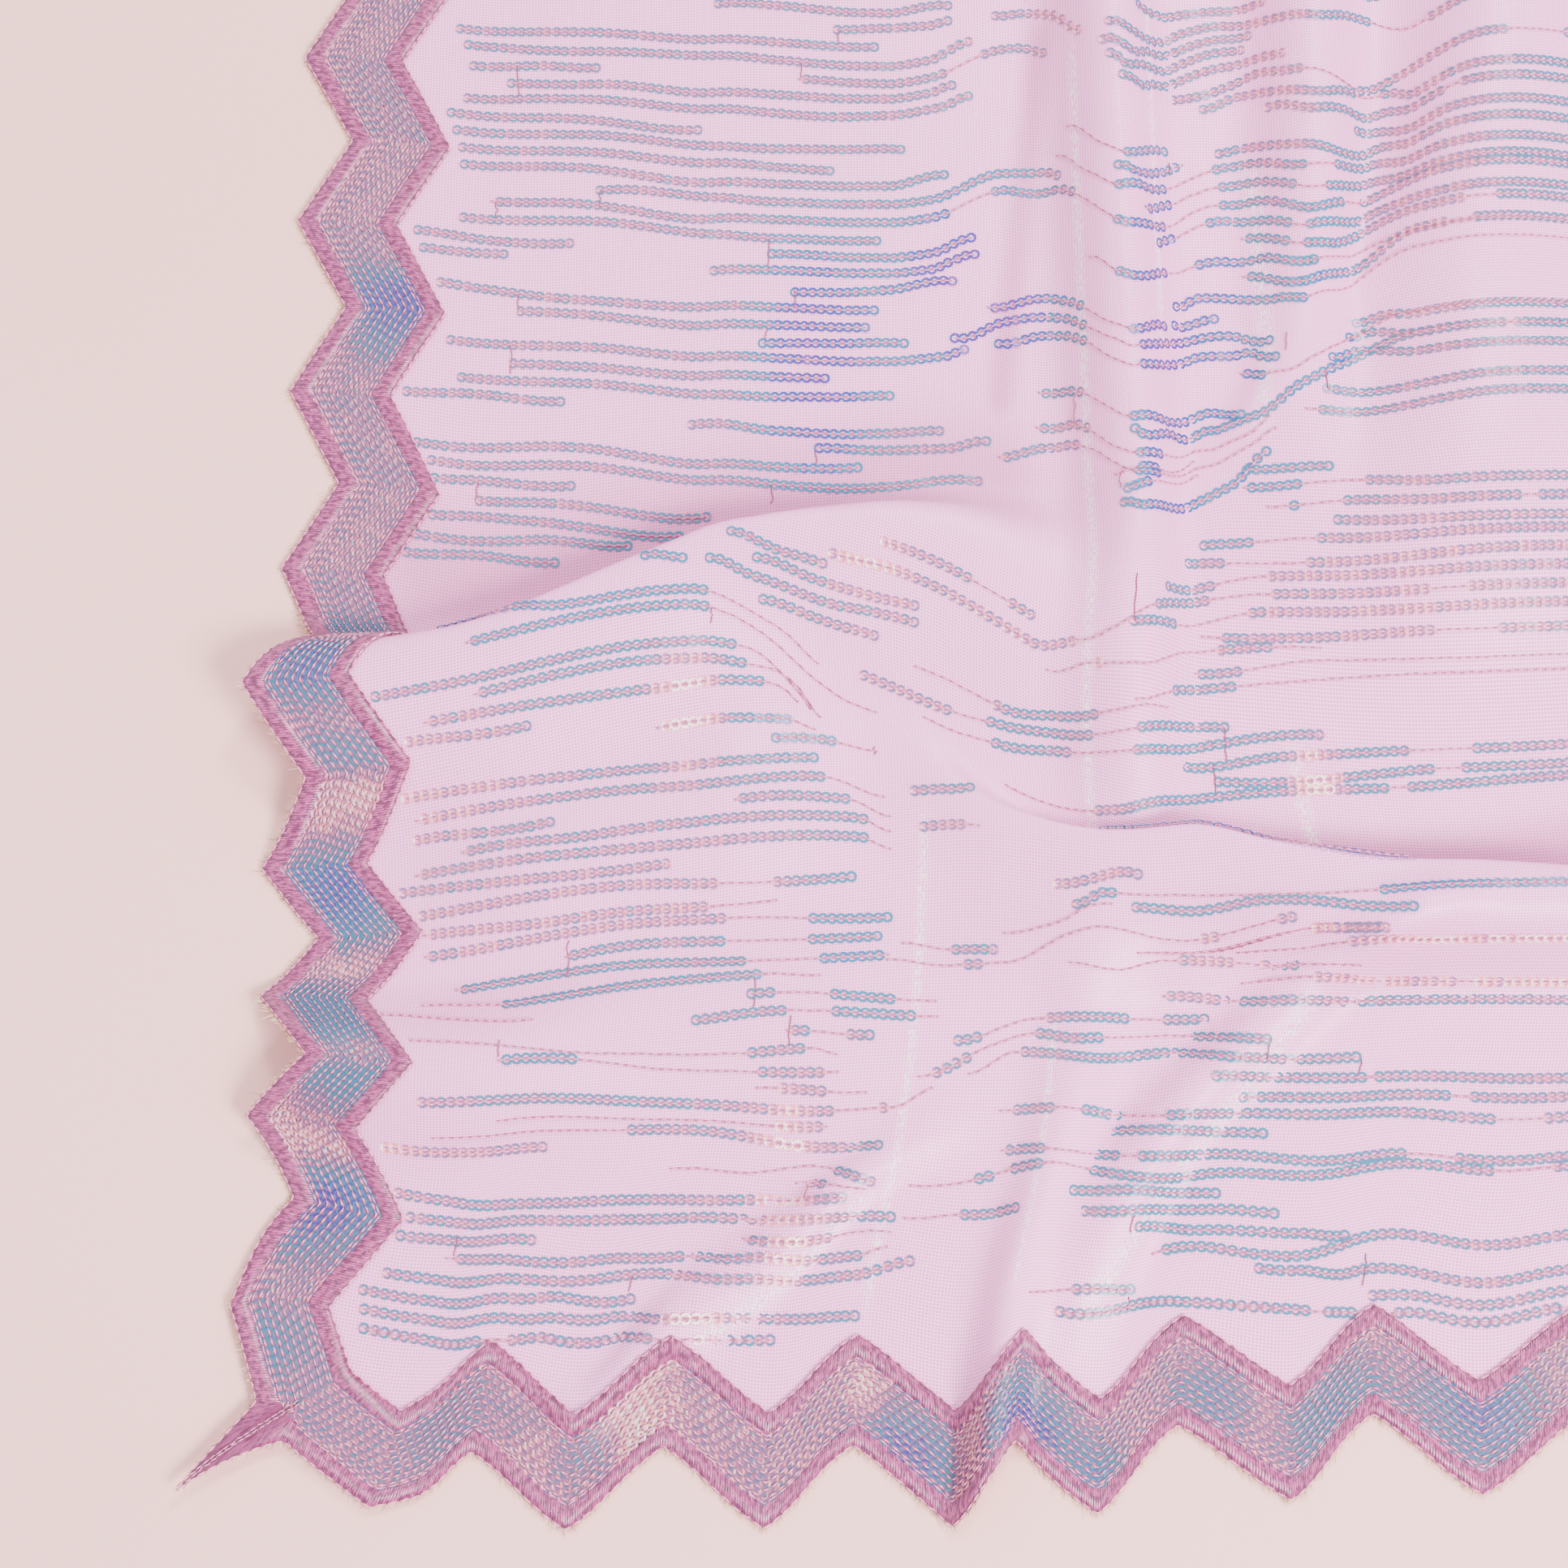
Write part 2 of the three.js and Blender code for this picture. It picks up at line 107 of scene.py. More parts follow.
CROSS_FOLDS = [
    dict(  # tall ridge
        left=34, right=27, half=36,
        line=[[150, 255], [240, 280], [330, 290], [440, 286], [560, 283], [720, 275]],
        take=[[150, 0], [300, 10], [700, 8], [900, 0]],
        rise=[[225, 0], [300, 11], [400, 17], [600, 18], [720, 0]],
        sway=[[300, 0], [380, 4], [600, 5], [720, 0]], lift=steady(0)),
    dict(  # slanted crease
        left=34, right=26, half=30,
        line=[[300, 275], [338, 290], [361, 304], [389, 322], [420, 350], [478, 384], [600, 420],
              [720, 440]],
        take=[[300, 0], [400, 6], [600, 0]], rise=steady(0), sway=steady(0),
        lift=[[285, 0], [330, 12], [420, 22], [520, 14], [700, 0]]),
    dict(  # short ridge
        left=30, right=26, half=36,
        line=[[330, 350], [430, 358], [520, 362], [600, 364], [720, 368]],
        take=[[400, 0], [450, 6], [700, 6], [900, 0]],
        rise=[[370, 0], [430, 9], [520, 14], [620, 14], [720, 0]],
        sway=[[370, 0], [450, 3], [600, 4], [720, 0]], lift=steady(0)),
    dict(  # broad ridge
        left=46, right=60, half=60,
        line=[[300, 400], [400, 420], [480, 432], [600, 440], [720, 444]],
        take=[[360, 0], [500, 10], [700, 6], [900, 0]],
        rise=[[280, 0], [360, 8], [520, 17], [640, 14], [720, 0]],
        sway=steady(0), lift=steady(0)),
    dict(  # hem ridge
        left=22, right=22, half=26, line=[[0, 253], [60, 257], [150, 268]],
        take=[[0, 16], [100, 8], [200, 0]], rise=[[0, 10], [60, 9], [150, 4], [220, 0]],
        sway=steady(0), lift=steady(0)),
    dict(  # left slant
        left=20, right=20, half=26, line=[[20, 112], [49, 142], [92, 188], [120, 220]],
        take=steady(0), rise=[[10, 0], [50, 6], [92, 6], [130, 0]],
        sway=steady(0), lift=steady(0)),
    dict(  # right slant
        left=24, right=24, half=26,
        line=[[30, 275], [60, 282], [100, 296], [150, 338], [190, 380]],
        take=steady(0), rise=[[20, 0], [60, 5], [100, 8], [150, 8], [200, 0]],
        sway=steady(0), lift=steady(0)),
]
BODY_WAVES = [  # at, lean, rise, half, from, to
    (860, 90, 9, 62, 150, 1010), (1230, -70, 7, 56, 60, 700), (1600, 60, 10, 70, 380, 1121),
    (1990, -90, 8, 58, 0, 760), (2410, 50, 11, 72, 200, 1060), (2850, 110, 7, 54, 420, 1121),
    (3240, -60, 9, 66, 0, 820), (3690, -110, 8, 60, 260, 1121), (4120, 70, 10, 70, 0, 900),
    (4560, -40, 7, 56, 330, 1080), (5010, 60, 9, 64, 120, 960),
]
HEM_PULL = [[0, 10], [60, 0], [120, 2], [240, 3], [300, 7], [400, 12], [700, 0]]
HEM_PULL_REACH = 400
HEM_DRAW = [[0, 2], [59, 4], [88, -2], [118, -2], [147, -4], [177, -3], [206, -7], [236, -5],
            [265, -6], [295, -7], [324, -13], [354, -9], [383, -14], [420, -11], [600, -6],
            [900, 0]]
HEM_DRAW_REACH = 160
HEM_LEAN = [[60, 0], [147, 4.5], [420, 5], [700, 0]]
HEM_LEAN_AT, HEM_LEAN_BEFORE, HEM_LEAN_AFTER = 70, 60, 200
HEM_POINTS_SHARE = [[60, 0], [90, 1]]
HEM_POINTS_DEEPER, HEM_POINTS_REACH = 6.5, 150
END_PULL = [[0, 0], [60, 9], [120, 18], [180, 20], [236, 18], [300, 13], [360, 20], [900, 20],
            [1121, 8]]
END_PULL_REACH = 500
TIP_REACH, TIP_PINCH, TIP_RISE = 95, 0.45, 4


def through(pairs, place):
    """A smooth curve through pairs of (place, value) that never overshoots them."""
    table = np.array(pairs, float)
    xs, ys = table[:, 0], table[:, 1]
    gap = np.diff(xs)
    slope = np.diff(ys) / gap
    before, after = slope[:-1], slope[1:]
    tangent = np.zeros(len(xs))
    same_way = before * after > 0
    total = np.where(same_way, before + after, 1)
    tangent[1:-1] = np.where(same_way, 2 * before * after / total, 0)
    q = np.clip(place, xs[0], xs[-1])
    i = np.clip(np.searchsorted(xs, q, side="right") - 1, 0, len(gap) - 1)
    t = (q - xs[i]) / gap[i]
    return ((1 + 2 * t) * (1 - t) ** 2 * ys[i] + t * (1 - t) ** 2 * gap[i] * tangent[i]
            + t * t * (3 - 2 * t) * ys[i + 1] + t * t * (t - 1) * gap[i] * tangent[i + 1])


def step(x):
    c = np.clip(x, -1, 1)
    return 0.5 + 0.75 * c - 0.25 * c ** 3


def bump(x):
    return (1 - np.clip(x, -1, 1) ** 2) ** 2


def crest(offset, before, after):
    return bump(np.where(offset < 0, offset / before, offset / after))


def notch(place):
    """How far the zigzag edge stands in from its tips."""
    phase = np.mod(np.asarray(place, float) / PITCH, 1)
    return NOTCH * (1 - np.abs(2 * phase - 1))


def mitre(depth):
    """Where a line at that depth into a border meets its neighbour at a corner."""
    rising = depth / (1 - NOTCH / HALF_PITCH)
    falling = (2 * NOTCH + depth) / (1 + NOTCH / HALF_PITCH)
    return np.where(rising <= HALF_PITCH, rising, falling)


def lay(along, across):
    """Where a point of the cut lies, in millimetres from the corner tip."""
    near = bump((along + across) / TIP_REACH)
    off = (along - across) / 2 * TIP_PINCH * near
    a, b = along - off, across + off
    middle = (PALLU_END + SETTLED) / 2
    loose = 1 - step((a - middle) / (SETTLED - middle))
    x, y, z = a + 0.0, b + 0.0, NET_MIDDLE + TIP_RISE * near
    for f in LONG_FOLDS:
        s = b - through(f["line"], a)
        y = y - loose * through(f["take"], a) * step(s / through(f["half"], a))
        z = z + through(f["rise"], a) * crest(s - f["crest"], f["back"], f["front"])
    for f in CROSS_FOLDS:
        s = a - through(f["line"], b)
        profile = crest(s, f["left"], f["right"])
        x = x - loose * through(f["take"], b) * step(s / f["half"])
        y = (y + through(f["sway"], b) * profile
             + loose * through(f["lift"], b) * step(s / f["half"]))
        z = z + through(f["rise"], b) * profile
    for at, lean, rise, half, start, end in BODY_WAVES:
        s = a - at - lean * (b / WIDTH - 0.5)
        centre = (start + end) / 2
        z = z + rise * bump(s / half) * bump((b - centre) / (end - centre))
    y = y + through(HEM_PULL, a) * bump(b / HEM_PULL_REACH)
    y = y - (HEM_POINTS_DEEPER / 2 * through(HEM_POINTS_SHARE, a)
             * np.cos(2 * np.pi * a / PITCH) * bump(b / HEM_POINTS_REACH))
    x = x - through(HEM_LEAN, a) * crest(b - HEM_LEAN_AT, HEM_LEAN_BEFORE, HEM_LEAN_AFTER)
    x = x + through(END_PULL, b) * bump(a / END_PULL_REACH)
    x = x + through(HEM_DRAW, a) * bump(b / HEM_DRAW_REACH)
    return np.stack([x, y, z], -1)


NET_TOP_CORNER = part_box("net")[1]
ORIGIN = np.array([LENGTH - NET_TOP_CORNER.x / MM, WIDTH - NET_TOP_CORNER.y / MM, 0.0])
PROBE = 0.3


def unit(v):
    return v / np.maximum(np.linalg.norm(v, axis=-1, keepdims=True), 1e-9)


def cloth(along, across, height=0.0):
    """Points at a height over the cloth, and the cloth's normals there, in millimetres."""
    along, across = np.broadcast_arrays(np.asarray(along, float), np.asarray(across, float))
    da = lay(along + PROBE, across) - lay(along - PROBE, across)
    db = lay(along, across + PROBE) - lay(along, across - PROBE)
    normal = unit(np.cross(da, db))
    return lay(along, across) + normal * np.asarray(height)[..., None], normal


# ---------------------------------------------------------------- the camera and the light
VIEW_MIDDLE = np.array([180.0, 224.0, 0.0])
CAMERA_TARGET = (VIEW_MIDDLE - ORIGIN) * MM
CAMERA_ELEVATION = np.radians(76.5)
CAMERA_DISTANCE = 0.85
CAMERA_LENS = 62.35
SENSOR = 36.0


def aim(thing, target):
    thing.rotation_mode = "QUATERNION"
    away = Vector(target) - thing.location
    thing.rotation_quaternion = away.to_track_quat("-Z", "Y")


def add_camera():
    data = bpy.data.cameras.new("camera")
    data.lens = CAMERA_LENS
    data.sensor_width = SENSOR
    data.clip_start = 0.05
    camera = bpy.data.objects.new("camera", data)
    back = np.array([0, -np.cos(CAMERA_ELEVATION), np.sin(CAMERA_ELEVATION)])
    camera.location = CAMERA_TARGET + back * CAMERA_DISTANCE
    aim(camera, CAMERA_TARGET)
    bpy.context.scene.collection.objects.link(camera)
    bpy.context.scene.camera = camera


def add_light(name, place, size, power, colour=(1, 1, 1)):
    """A soft square lamp at a place given from the camera's target, in metres."""
    data = bpy.data.lights.new(name, "AREA")
    data.shape = "SQUARE"
    data.size = size
    data.energy = power
    data.color = colour
    lamp = bpy.data.objects.new(name, data)
    lamp.location = CAMERA_TARGET + np.array(place)
    aim(lamp, CAMERA_TARGET)
    bpy.context.scene.collection.objects.link(lamp)


add_camera()
add_light("key_lamp", (1.1, -0.9, 1.45), 0.7, 104, (1.0, 0.98, 0.97))
add_light("fill_lamp", (-1.6, 0.9, 1.9), 1.4, 34, (0.97, 0.98, 1.0))
add_light("streak_lamp", (0.7, 1.6, 1.9), 0.5, 58)


# ---------------------------------------------------------------- materials
def linear(*rgb):
    """A colour of 0 to 255 as the shader takes it."""
    share = np.array(rgb, float) / 255
    return tuple(np.where(share <= 0.04045, share / 12.92, ((share + 0.055) / 1.055) ** 2.4))


class Graph:
    """Short calls for the nodes of one material or group."""

    def __init__(self, tree):
        self.tree = tree

    def node(self, kind, **values):
        made = self.tree.nodes.new(kind)
        for key, value in values.items():
            setattr(made, key, value)
        return made

    def put(self, socket, value):
        if isinstance(value, bpy.types.NodeSocket):
            self.tree.links.new(value, socket)
        elif isinstance(value, tuple) and len(value) == 3 and socket.type == "RGBA":
            socket.default_value = (*value, 1)
        else:
            socket.default_value = value

    def math(self, operation, a, b=0.0, c=0.0):
        made = self.node("ShaderNodeMath", operation=operation)
        for socket, value in zip(made.inputs, (a, b, c)):
            self.put(socket, value)
        return made.outputs[0]

    def mix(self, share, a, b):
        made = self.node("ShaderNodeMix", data_type="RGBA")
        for name, value in zip(("Factor_Float", "A_Color", "B_Color"), (share, a, b)):
            socket = next(s for s in made.inputs if s.identifier == name)
            self.put(socket, value)
        return next(s for s in made.outputs if s.identifier == "Result_Color")

    def smooth(self, value, low, high, to_low=0.0, to_high=1.0):
        made = self.node("ShaderNodeMapRange", interpolation_type="SMOOTHSTEP")
        for socket, v in zip(made.inputs, (value, low, high, to_low, to_high)):
            self.put(socket, v)
        return made.outputs[0]

    def noise(self, vector, scale, detail=2.0, roughness=0.5):
        made = self.node("ShaderNodeTexNoise")
        for name, v in (("Vector", vector), ("Scale", scale), ("Detail", detail),
                        ("Roughness", roughness)):
            self.put(made.inputs[name], v)
        return made.outputs[0]

    def joined(self, x, y, z=0.0):
        made = self.node("ShaderNodeCombineXYZ")
        for socket, v in zip(made.inputs, (x, y, z)):
            self.put(socket, v)
        return made.outputs[0]

    def cut_place(self):
        """Where the point is on the cut: along and across, in metres."""
        uv = self.node("ShaderNodeUVMap", uv_map="cut")
        split = self.node("ShaderNodeSeparateXYZ")
        self.put(split.inputs[0], uv.outputs[0])
        return split.outputs[0], split.outputs[1]

    def tint(self):
        """The colour and strength that the mesh carries at each point."""
        made = self.node("ShaderNodeAttribute", attribute_name="tint")
        return made.outputs["Color"], made.outputs["Alpha"]

    def bump(self, height, strength, distance):
        made = self.node("ShaderNodeBump")
        self.put(made.inputs["Strength"], strength)
        self.put(made.inputs["Distance"], distance)
        self.put(made.inputs["Height"], height)
        return made.outputs[0]


def material(name, **values):
    """A Principled material, and a graph to add to it."""
    made = bpy.data.materials.new(name)
    made.use_nodes = True
    shader = made.node_tree.nodes["Principled BSDF"]
    graph = Graph(made.node_tree)
    for key, value in values.items():
        graph.put(shader.inputs[key.replace("_", " ")], value)
    return made, graph, shader


def group(name, inputs, outputs):
    """An empty shader group with named sockets."""
    tree = bpy.data.node_groups.new(name, "ShaderNodeTree")
    for label in inputs:
        tree.interface.new_socket(label, in_out="INPUT", socket_type="NodeSocketFloat")
    for label in outputs:
        tree.interface.new_socket(label, in_out="OUTPUT", socket_type="NodeSocketFloat")
    graph = Graph(tree)
    return tree, graph, graph.node("NodeGroupInput"), graph.node("NodeGroupOutput")


SEQUIN_PITCH = 3.0
SEQUIN_OUTER = 1.75
SEQUIN_INNER = 1.05
FIELD_ROW_PITCH = 6.0
BORDER_ROW_PITCH = 2.4


def make_drawn_sequins():
    """Rings on a grid, for the lengths where they aren't modelled one by one."""
    tree, g, given, out = group(
        "drawn_sequins", ["Along", "Across", "Pitch along", "Pitch across"], ["Rings", "Thread"])

    def from_middle(place, pitch):
        cell = g.math("FRACT", g.math("DIVIDE", given.outputs[place], given.outputs[pitch]))
        return g.math("MULTIPLY", g.math("SUBTRACT", cell, 0.5), given.outputs[pitch])

    u = from_middle("Along", "Pitch along")
    v = from_middle("Across", "Pitch across")
    radius = g.math("SQRT", g.math("ADD", g.math("MULTIPLY", u, u), g.math("MULTIPLY", v, v)))
    off_ring = g.math("ABSOLUTE", g.math(
        "SUBTRACT", radius, (SEQUIN_OUTER + SEQUIN_INNER) / 2 * MM))
    wall = (SEQUIN_OUTER - SEQUIN_INNER) * MM
    g.put(out.inputs["Rings"], g.smooth(off_ring, 0.35 * wall, 0.65 * wall, 1.0, 0.0))
    g.put(out.inputs["Thread"], g.smooth(g.math("ABSOLUTE", v), 0.2 * MM, 0.5 * MM, 1.0, 0.0))
    return tree


def make_fine_threads():
    """Threads that lie side by side, as a height and a soft unevenness between them."""
    tree, g, given, out = group(
        "fine_threads", ["Along", "Across", "Pitch"], ["Height", "Unevenness"])
    along = g.math("DIVIDE", given.outputs["Along"], given.outputs["Pitch"])
    drift = g.noise(g.joined(g.math("MULTIPLY", along, 0.31),
                             g.math("MULTIPLY", given.outputs["Across"], 160.0)), 1.0)
    turned = g.math("ADD", along, g.math("MULTIPLY", drift, 0.5))
    g.put(out.inputs["Height"], g.math("PINGPONG", turned, 0.5))
    g.put(out.inputs["Unevenness"], g.noise(g.joined(
        g.math("MULTIPLY", along, 0.7), g.math("MULTIPLY", given.outputs["Across"], 420.0)),
        1.0, 3.0))
    return tree


DRAWN_SEQUINS = make_drawn_sequins()
FINE_THREADS = make_fine_threads()
NET_PITCH = 1.0
THREAD_WIDTH_SHARE = 0.26
NET_PINKS = (linear(248, 134, 214), linear(240, 124, 206))
NET_THREAD = linear(255, 182, 234)
# The colour of the painted shade in the net's folds.
NET_PAINTED_SHADE = linear(178, 84, 140)
# The colour of the painted sheen on the net.
NET_PAINTED_SHINE = linear(255, 246, 252)
GROUND_MAUVES = (linear(120, 60, 100), linear(164, 90, 138))
SATIN_ROSES = (linear(106, 36, 80), linear(180, 74, 134))
SATIN_GAP = linear(74, 22, 56)
SATIN_PAINTED_GLINT = linear(255, 176, 226)
FLOOR_PALES = (linear(234, 180, 174), linear(240, 188, 182))
DRAWN_RING = linear(176, 160, 200)
DRAWN_BORDER_RING = linear(196, 176, 212)
DRAWN_CHAIN = linear(208, 142, 176)
DRAWN_FIELD_INSET = 52.0
SATIN_STITCH_PITCH = 0.85


def use(g, tree, **values):
    """A node of that group with its inputs set, as its outputs."""
    made = g.node("ShaderNodeGroup", node_tree=tree)
    for key, value in values.items():
        g.put(made.inputs[key.replace("_", " ")], value)
    return made.outputs


# Streaks of painted sheen where the net shines: from (along, across), to (along, across), half
# width, in mm.
PAINTED_SHEEN_STREAKS = [
    ((270, 240), (266, 556), 3.0), ((302, 420), (300, 560), 2.2), ((344, 380), (338, 500), 5.5),
    ((206, 96), (154, 48), 4.5), ((346, 152), (284, 54), 5.0), ((208, 50), (212, 220), 2.5),
    ((258, 60), (256, 150), 2.2), ((352, 240), (346, 300), 4.0),
]
# Where the net lies in the deep of a fold: streaks of painted shade.
PAINTED_SHADE_STREAKS = [
    ((20, 352), (262, 388), 40.0), ((330, 258), (470, 272), 16.0), ((236, 400), (256, 560), 9.0),
]


def make_painted_streak():
    """A soft streak between two places of the cut, as a mask for the painted sheen and the painted
    shade.
    """
    tree, g, given, out = group(
        "painted_streak", ["Along", "Across", "From along", "From across", "Way along",
                         "Way across", "Length", "Half width"], ["Mask"])
    u = g.math("SUBTRACT", given.outputs["Along"], given.outputs["From along"])
    v = g.math("SUBTRACT", given.outputs["Across"], given.outputs["From across"])
    way_u, way_v = given.outputs["Way along"], given.outputs["Way across"]
    ahead = g.math("ADD", g.math("MULTIPLY", u, way_u), g.math("MULTIPLY", v, way_v))
    aside = g.math("ABSOLUTE", g.math(
        "SUBTRACT", g.math("MULTIPLY", u, way_v), g.math("MULTIPLY", v, way_u)))
    middle = g.math("MULTIPLY", given.outputs["Length"], 0.5)
    off_middle = g.math("ABSOLUTE", g.math("SUBTRACT", ahead, middle))
    width = given.outputs["Half width"]
    beside = g.smooth(aside, 0.0, width, 1.0, 0.0)
    inside = g.smooth(g.math("DIVIDE", off_middle, middle), 0.8, 1.0, 1.0, 0.0)
    g.put(out.inputs["Mask"], g.math("MULTIPLY", beside, inside))
    return tree


PAINTED_STREAK = make_painted_streak()


def streaks(g, along, across, places):
    """One mask of all those streaks."""
    mask = 0.0
    for start, end, half in places:
        way = np.array(end) - np.array(start)
        length = float(np.hypot(*way))
        one = use(g, PAINTED_STREAK, Along=along, Across=across, From_along=start[0] * MM,
                  From_across=start[1] * MM, Way_along=way[0] / length,
                  Way_across=way[1] / length, Length=length * MM, Half_width=half * MM)
        mask = g.math("MAXIMUM", one["Mask"], mask)
    return mask


def make_net_cloth():
    """Sheer net with its threads, its sheen with painted sheen streaks, painted shade in its folds,
    and drawn rows past the modelled stretch.
    """
    mat, g, shader = material(
        "lilac_net", Roughness=0.42, Sheen_Weight=0.25, Sheen_Roughness=0.4)
    along, across = g.cut_place()

    def on_thread(place):
        cell = g.math("PINGPONG", g.math("DIVIDE", place, NET_PITCH * MM), 0.5)
        return g.smooth(cell, THREAD_WIDTH_SHARE * 0.6, THREAD_WIDTH_SHARE, 1.0, 0.0)

    threads = g.math("MAXIMUM", on_thread(along), on_thread(across))
    clumps = g.noise(g.joined(along, across), 90.0, 3.0)
    wash = g.noise(g.joined(along, across), 7.0, 1.0)
    colour = g.mix(wash, *NET_PINKS)
    colour = g.mix(g.math("MULTIPLY", threads, 0.8), colour, NET_THREAD)
    # Painted shade: the net's colour is darkened along the fold streaks.
    painted_shade = streaks(g, along, across, PAINTED_SHADE_STREAKS)
    colour = g.mix(g.math("MULTIPLY", painted_shade, 0.5), colour, NET_PAINTED_SHADE)

    # Painted highlight: white dashes of sheen laid into the colour along the streaks.
    dashes = g.noise(g.joined(g.math("MULTIPLY", along, 3.2), across), 520.0, 2.0, 0.6)
    painted_sheen = g.math("MULTIPLY", streaks(g, along, across, PAINTED_SHEEN_STREAKS), g.smooth(dashes, 0.46, 0.6))
    colour = g.mix(g.math("MULTIPLY", painted_sheen, 0.9), colour, NET_PAINTED_SHINE)

    row = g.math("FLOOR", g.math("DIVIDE", across, FIELD_ROW_PITCH * MM))
    runs = g.noise(g.joined(g.math("MULTIPLY", along, 9.0), g.math("MULTIPLY", row, 0.37)), 1.0)
    sewn = use(g, DRAWN_SEQUINS, Along=along, Across=across, Pitch_along=SEQUIN_PITCH * MM,
               Pitch_across=FIELD_ROW_PITCH * MM)
    is_run = g.smooth(runs, 0.46, 0.48)
    is_drawn = g.math("MAXIMUM", g.math("GREATER_THAN", along, SHOWN_ALONG * MM),
                      g.math("GREATER_THAN", across, SHOWN_ACROSS * MM))
    is_field = g.math("MULTIPLY", g.math("GREATER_THAN", across, DRAWN_FIELD_INSET * MM),
                      g.math("LESS_THAN", across, (WIDTH - DRAWN_FIELD_INSET) * MM))
    shown = g.math("MULTIPLY", g.math("MULTIPLY", is_run, is_drawn), is_field)
    rings = g.math("MULTIPLY", sewn["Rings"], shown)
    thread = g.math("MULTIPLY", sewn["Thread"], shown)
    colour = g.mix(rings, colour, DRAWN_RING)
    colour = g.mix(thread, colour, DRAWN_CHAIN)
    g.put(shader.inputs["Base Color"], colour)
    sheer = g.math("ADD", 0.62, g.math("MULTIPLY", clumps, 0.12))
    whole = g.math("MAXIMUM", g.math("MAXIMUM", g.math("MULTIPLY", threads, 0.93), rings), thread)
    g.put(shader.inputs["Alpha"], g.math("MAXIMUM", sheer, whole))
    g.put(shader.inputs["Normal"], g.bump(threads, 0.25, 0.1 * MM))
    return mat


def make_border_cloth():
    """The borders' ground, with drawn rings past the modelled stretch."""
    mat, g, shader = material("mauve_ground", Roughness=0.5, Sheen_Weight=0.2)
    along, across = g.cut_place()
    weave = g.noise(g.joined(along, across), 700.0, 2.0)
    colour = g.mix(weave, *GROUND_MAUVES)
    sewn = use(g, DRAWN_SEQUINS, Along=along, Across=across,
               Pitch_along=SEQUIN_PITCH * MM, Pitch_across=BORDER_ROW_PITCH * MM)
    is_drawn = g.math("GREATER_THAN", along, SHOWN_ACROSS * CHEVRON_STRETCH * MM)
    g.put(shader.inputs["Base Color"], g.mix(
        g.math("MULTIPLY", sewn["Rings"], is_drawn), colour, DRAWN_BORDER_RING))
    g.put(shader.inputs["Normal"], g.bump(weave, 0.4, 0.15 * MM))
    return mat


def make_satin_thread():
    """Dense stitches side by side across the band, with painted glints."""
    mat, g, shader = material("rose_satin_stitch", Roughness=0.34, Sheen_Weight=0.15)
    along, across = g.cut_place()
    fine = use(g, FINE_THREADS, Along=along, Across=across, Pitch=SATIN_STITCH_PITCH * MM)
    base = g.mix(g.smooth(fine["Unevenness"], 0.38, 0.62), *SATIN_ROSES)
    colour = g.mix(g.math("MULTIPLY", g.smooth(fine["Height"], 0.0, 0.26, 1.0, 0.0), 0.75),
                   base, SATIN_GAP)
    # Painted highlight: pale glints laid into the satin's colour at random specks.
    painted_glints = g.noise(g.joined(g.math("MULTIPLY", along, 2.4), across), 640.0, 2.0, 0.6)
    colour = g.mix(g.smooth(painted_glints, 0.62, 0.72, 0.0, 0.5), colour, SATIN_PAINTED_GLINT)
    g.put(shader.inputs["Base Color"], colour)
    g.put(shader.inputs["Normal"], g.bump(fine["Height"], 0.8, 0.3 * MM))
    return mat


def make_sequin_film():
    """Clear film that takes its painted reflection colour and strength from the mesh."""
    mat, g, shader = material("iridescent_sequin", Roughness=0.34, Coat_Weight=0.04,
                              Coat_Roughness=0.12)
    colour, strength = g.tint()
    g.put(shader.inputs["Base Color"], colour)
    g.put(shader.inputs["Alpha"], strength)
    return mat


def make_tinted(name, roughness):
    """Thread or fibre that takes its colour from the mesh."""
    mat, g, shader = material(name, Roughness=roughness, Sheen_Weight=0.2)
    g.put(shader.inputs["Base Color"], g.tint()[0])
    return mat


NET_CLOTH = make_net_cloth()
BORDER_CLOTH = make_border_cloth()
SATIN_THREAD = make_satin_thread()
SEQUIN_FILM = make_sequin_film()
CHAIN_THREAD = make_tinted("rose_chain_thread", 0.45)
NET_FRINGE = make_tinted("cut_net_fibre", 0.7)


# ---------------------------------------------------------------- meshes
def piece(name, points, faces, mat, cut=None, tint=None, stands_for=()):
    """A mesh from points in millimetres, riding with the saree."""
    mesh = bpy.data.meshes.new(name)
    placed = (np.reshape(points, (-1, 3)) - ORIGIN) * MM
    mesh.from_pydata(placed.tolist(), [], np.asarray(faces).tolist())
    if cut is not None:
        layer = mesh.uv_layers.new(name="cut")
        corner = np.empty(len(mesh.loops), int)
        mesh.loops.foreach_get("vertex_index", corner)
        layer.data.foreach_set("uv", (np.reshape(cut, (-1, 2))[corner] * MM).ravel())
    if tint is not None:
        layer = mesh.color_attributes.new("tint", "FLOAT_COLOR", "POINT")
        layer.data.foreach_set("color", np.reshape(tint, (-1, 4)).ravel())
    mesh.shade_smooth()
    mesh.materials.append(mat)
    made = bpy.data.objects.new(name, mesh)
    bpy.context.scene.collection.objects.link(made)
    if stands_for:
        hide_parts(*stands_for)
    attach(made, "root")
    return made


def grid_faces(rows, columns):
    first = (np.arange(rows - 1)[:, None] * columns + np.arange(columns - 1)).ravel()
    return np.stack([first, first + columns, first + columns + 1, first + 1], -1)


def lines_between(start, end, spacing):
    return np.linspace(start, end, int(round((end - start) / spacing)) + 1)


# ---------------------------------------------------------------- the net
EDGE_FADE = 130.0


def edge_share(depth):
    """How far the zigzag edge still shows in the grid at this depth."""
    return np.interp(depth, [BAND, EDGE_FADE], [1, 0])


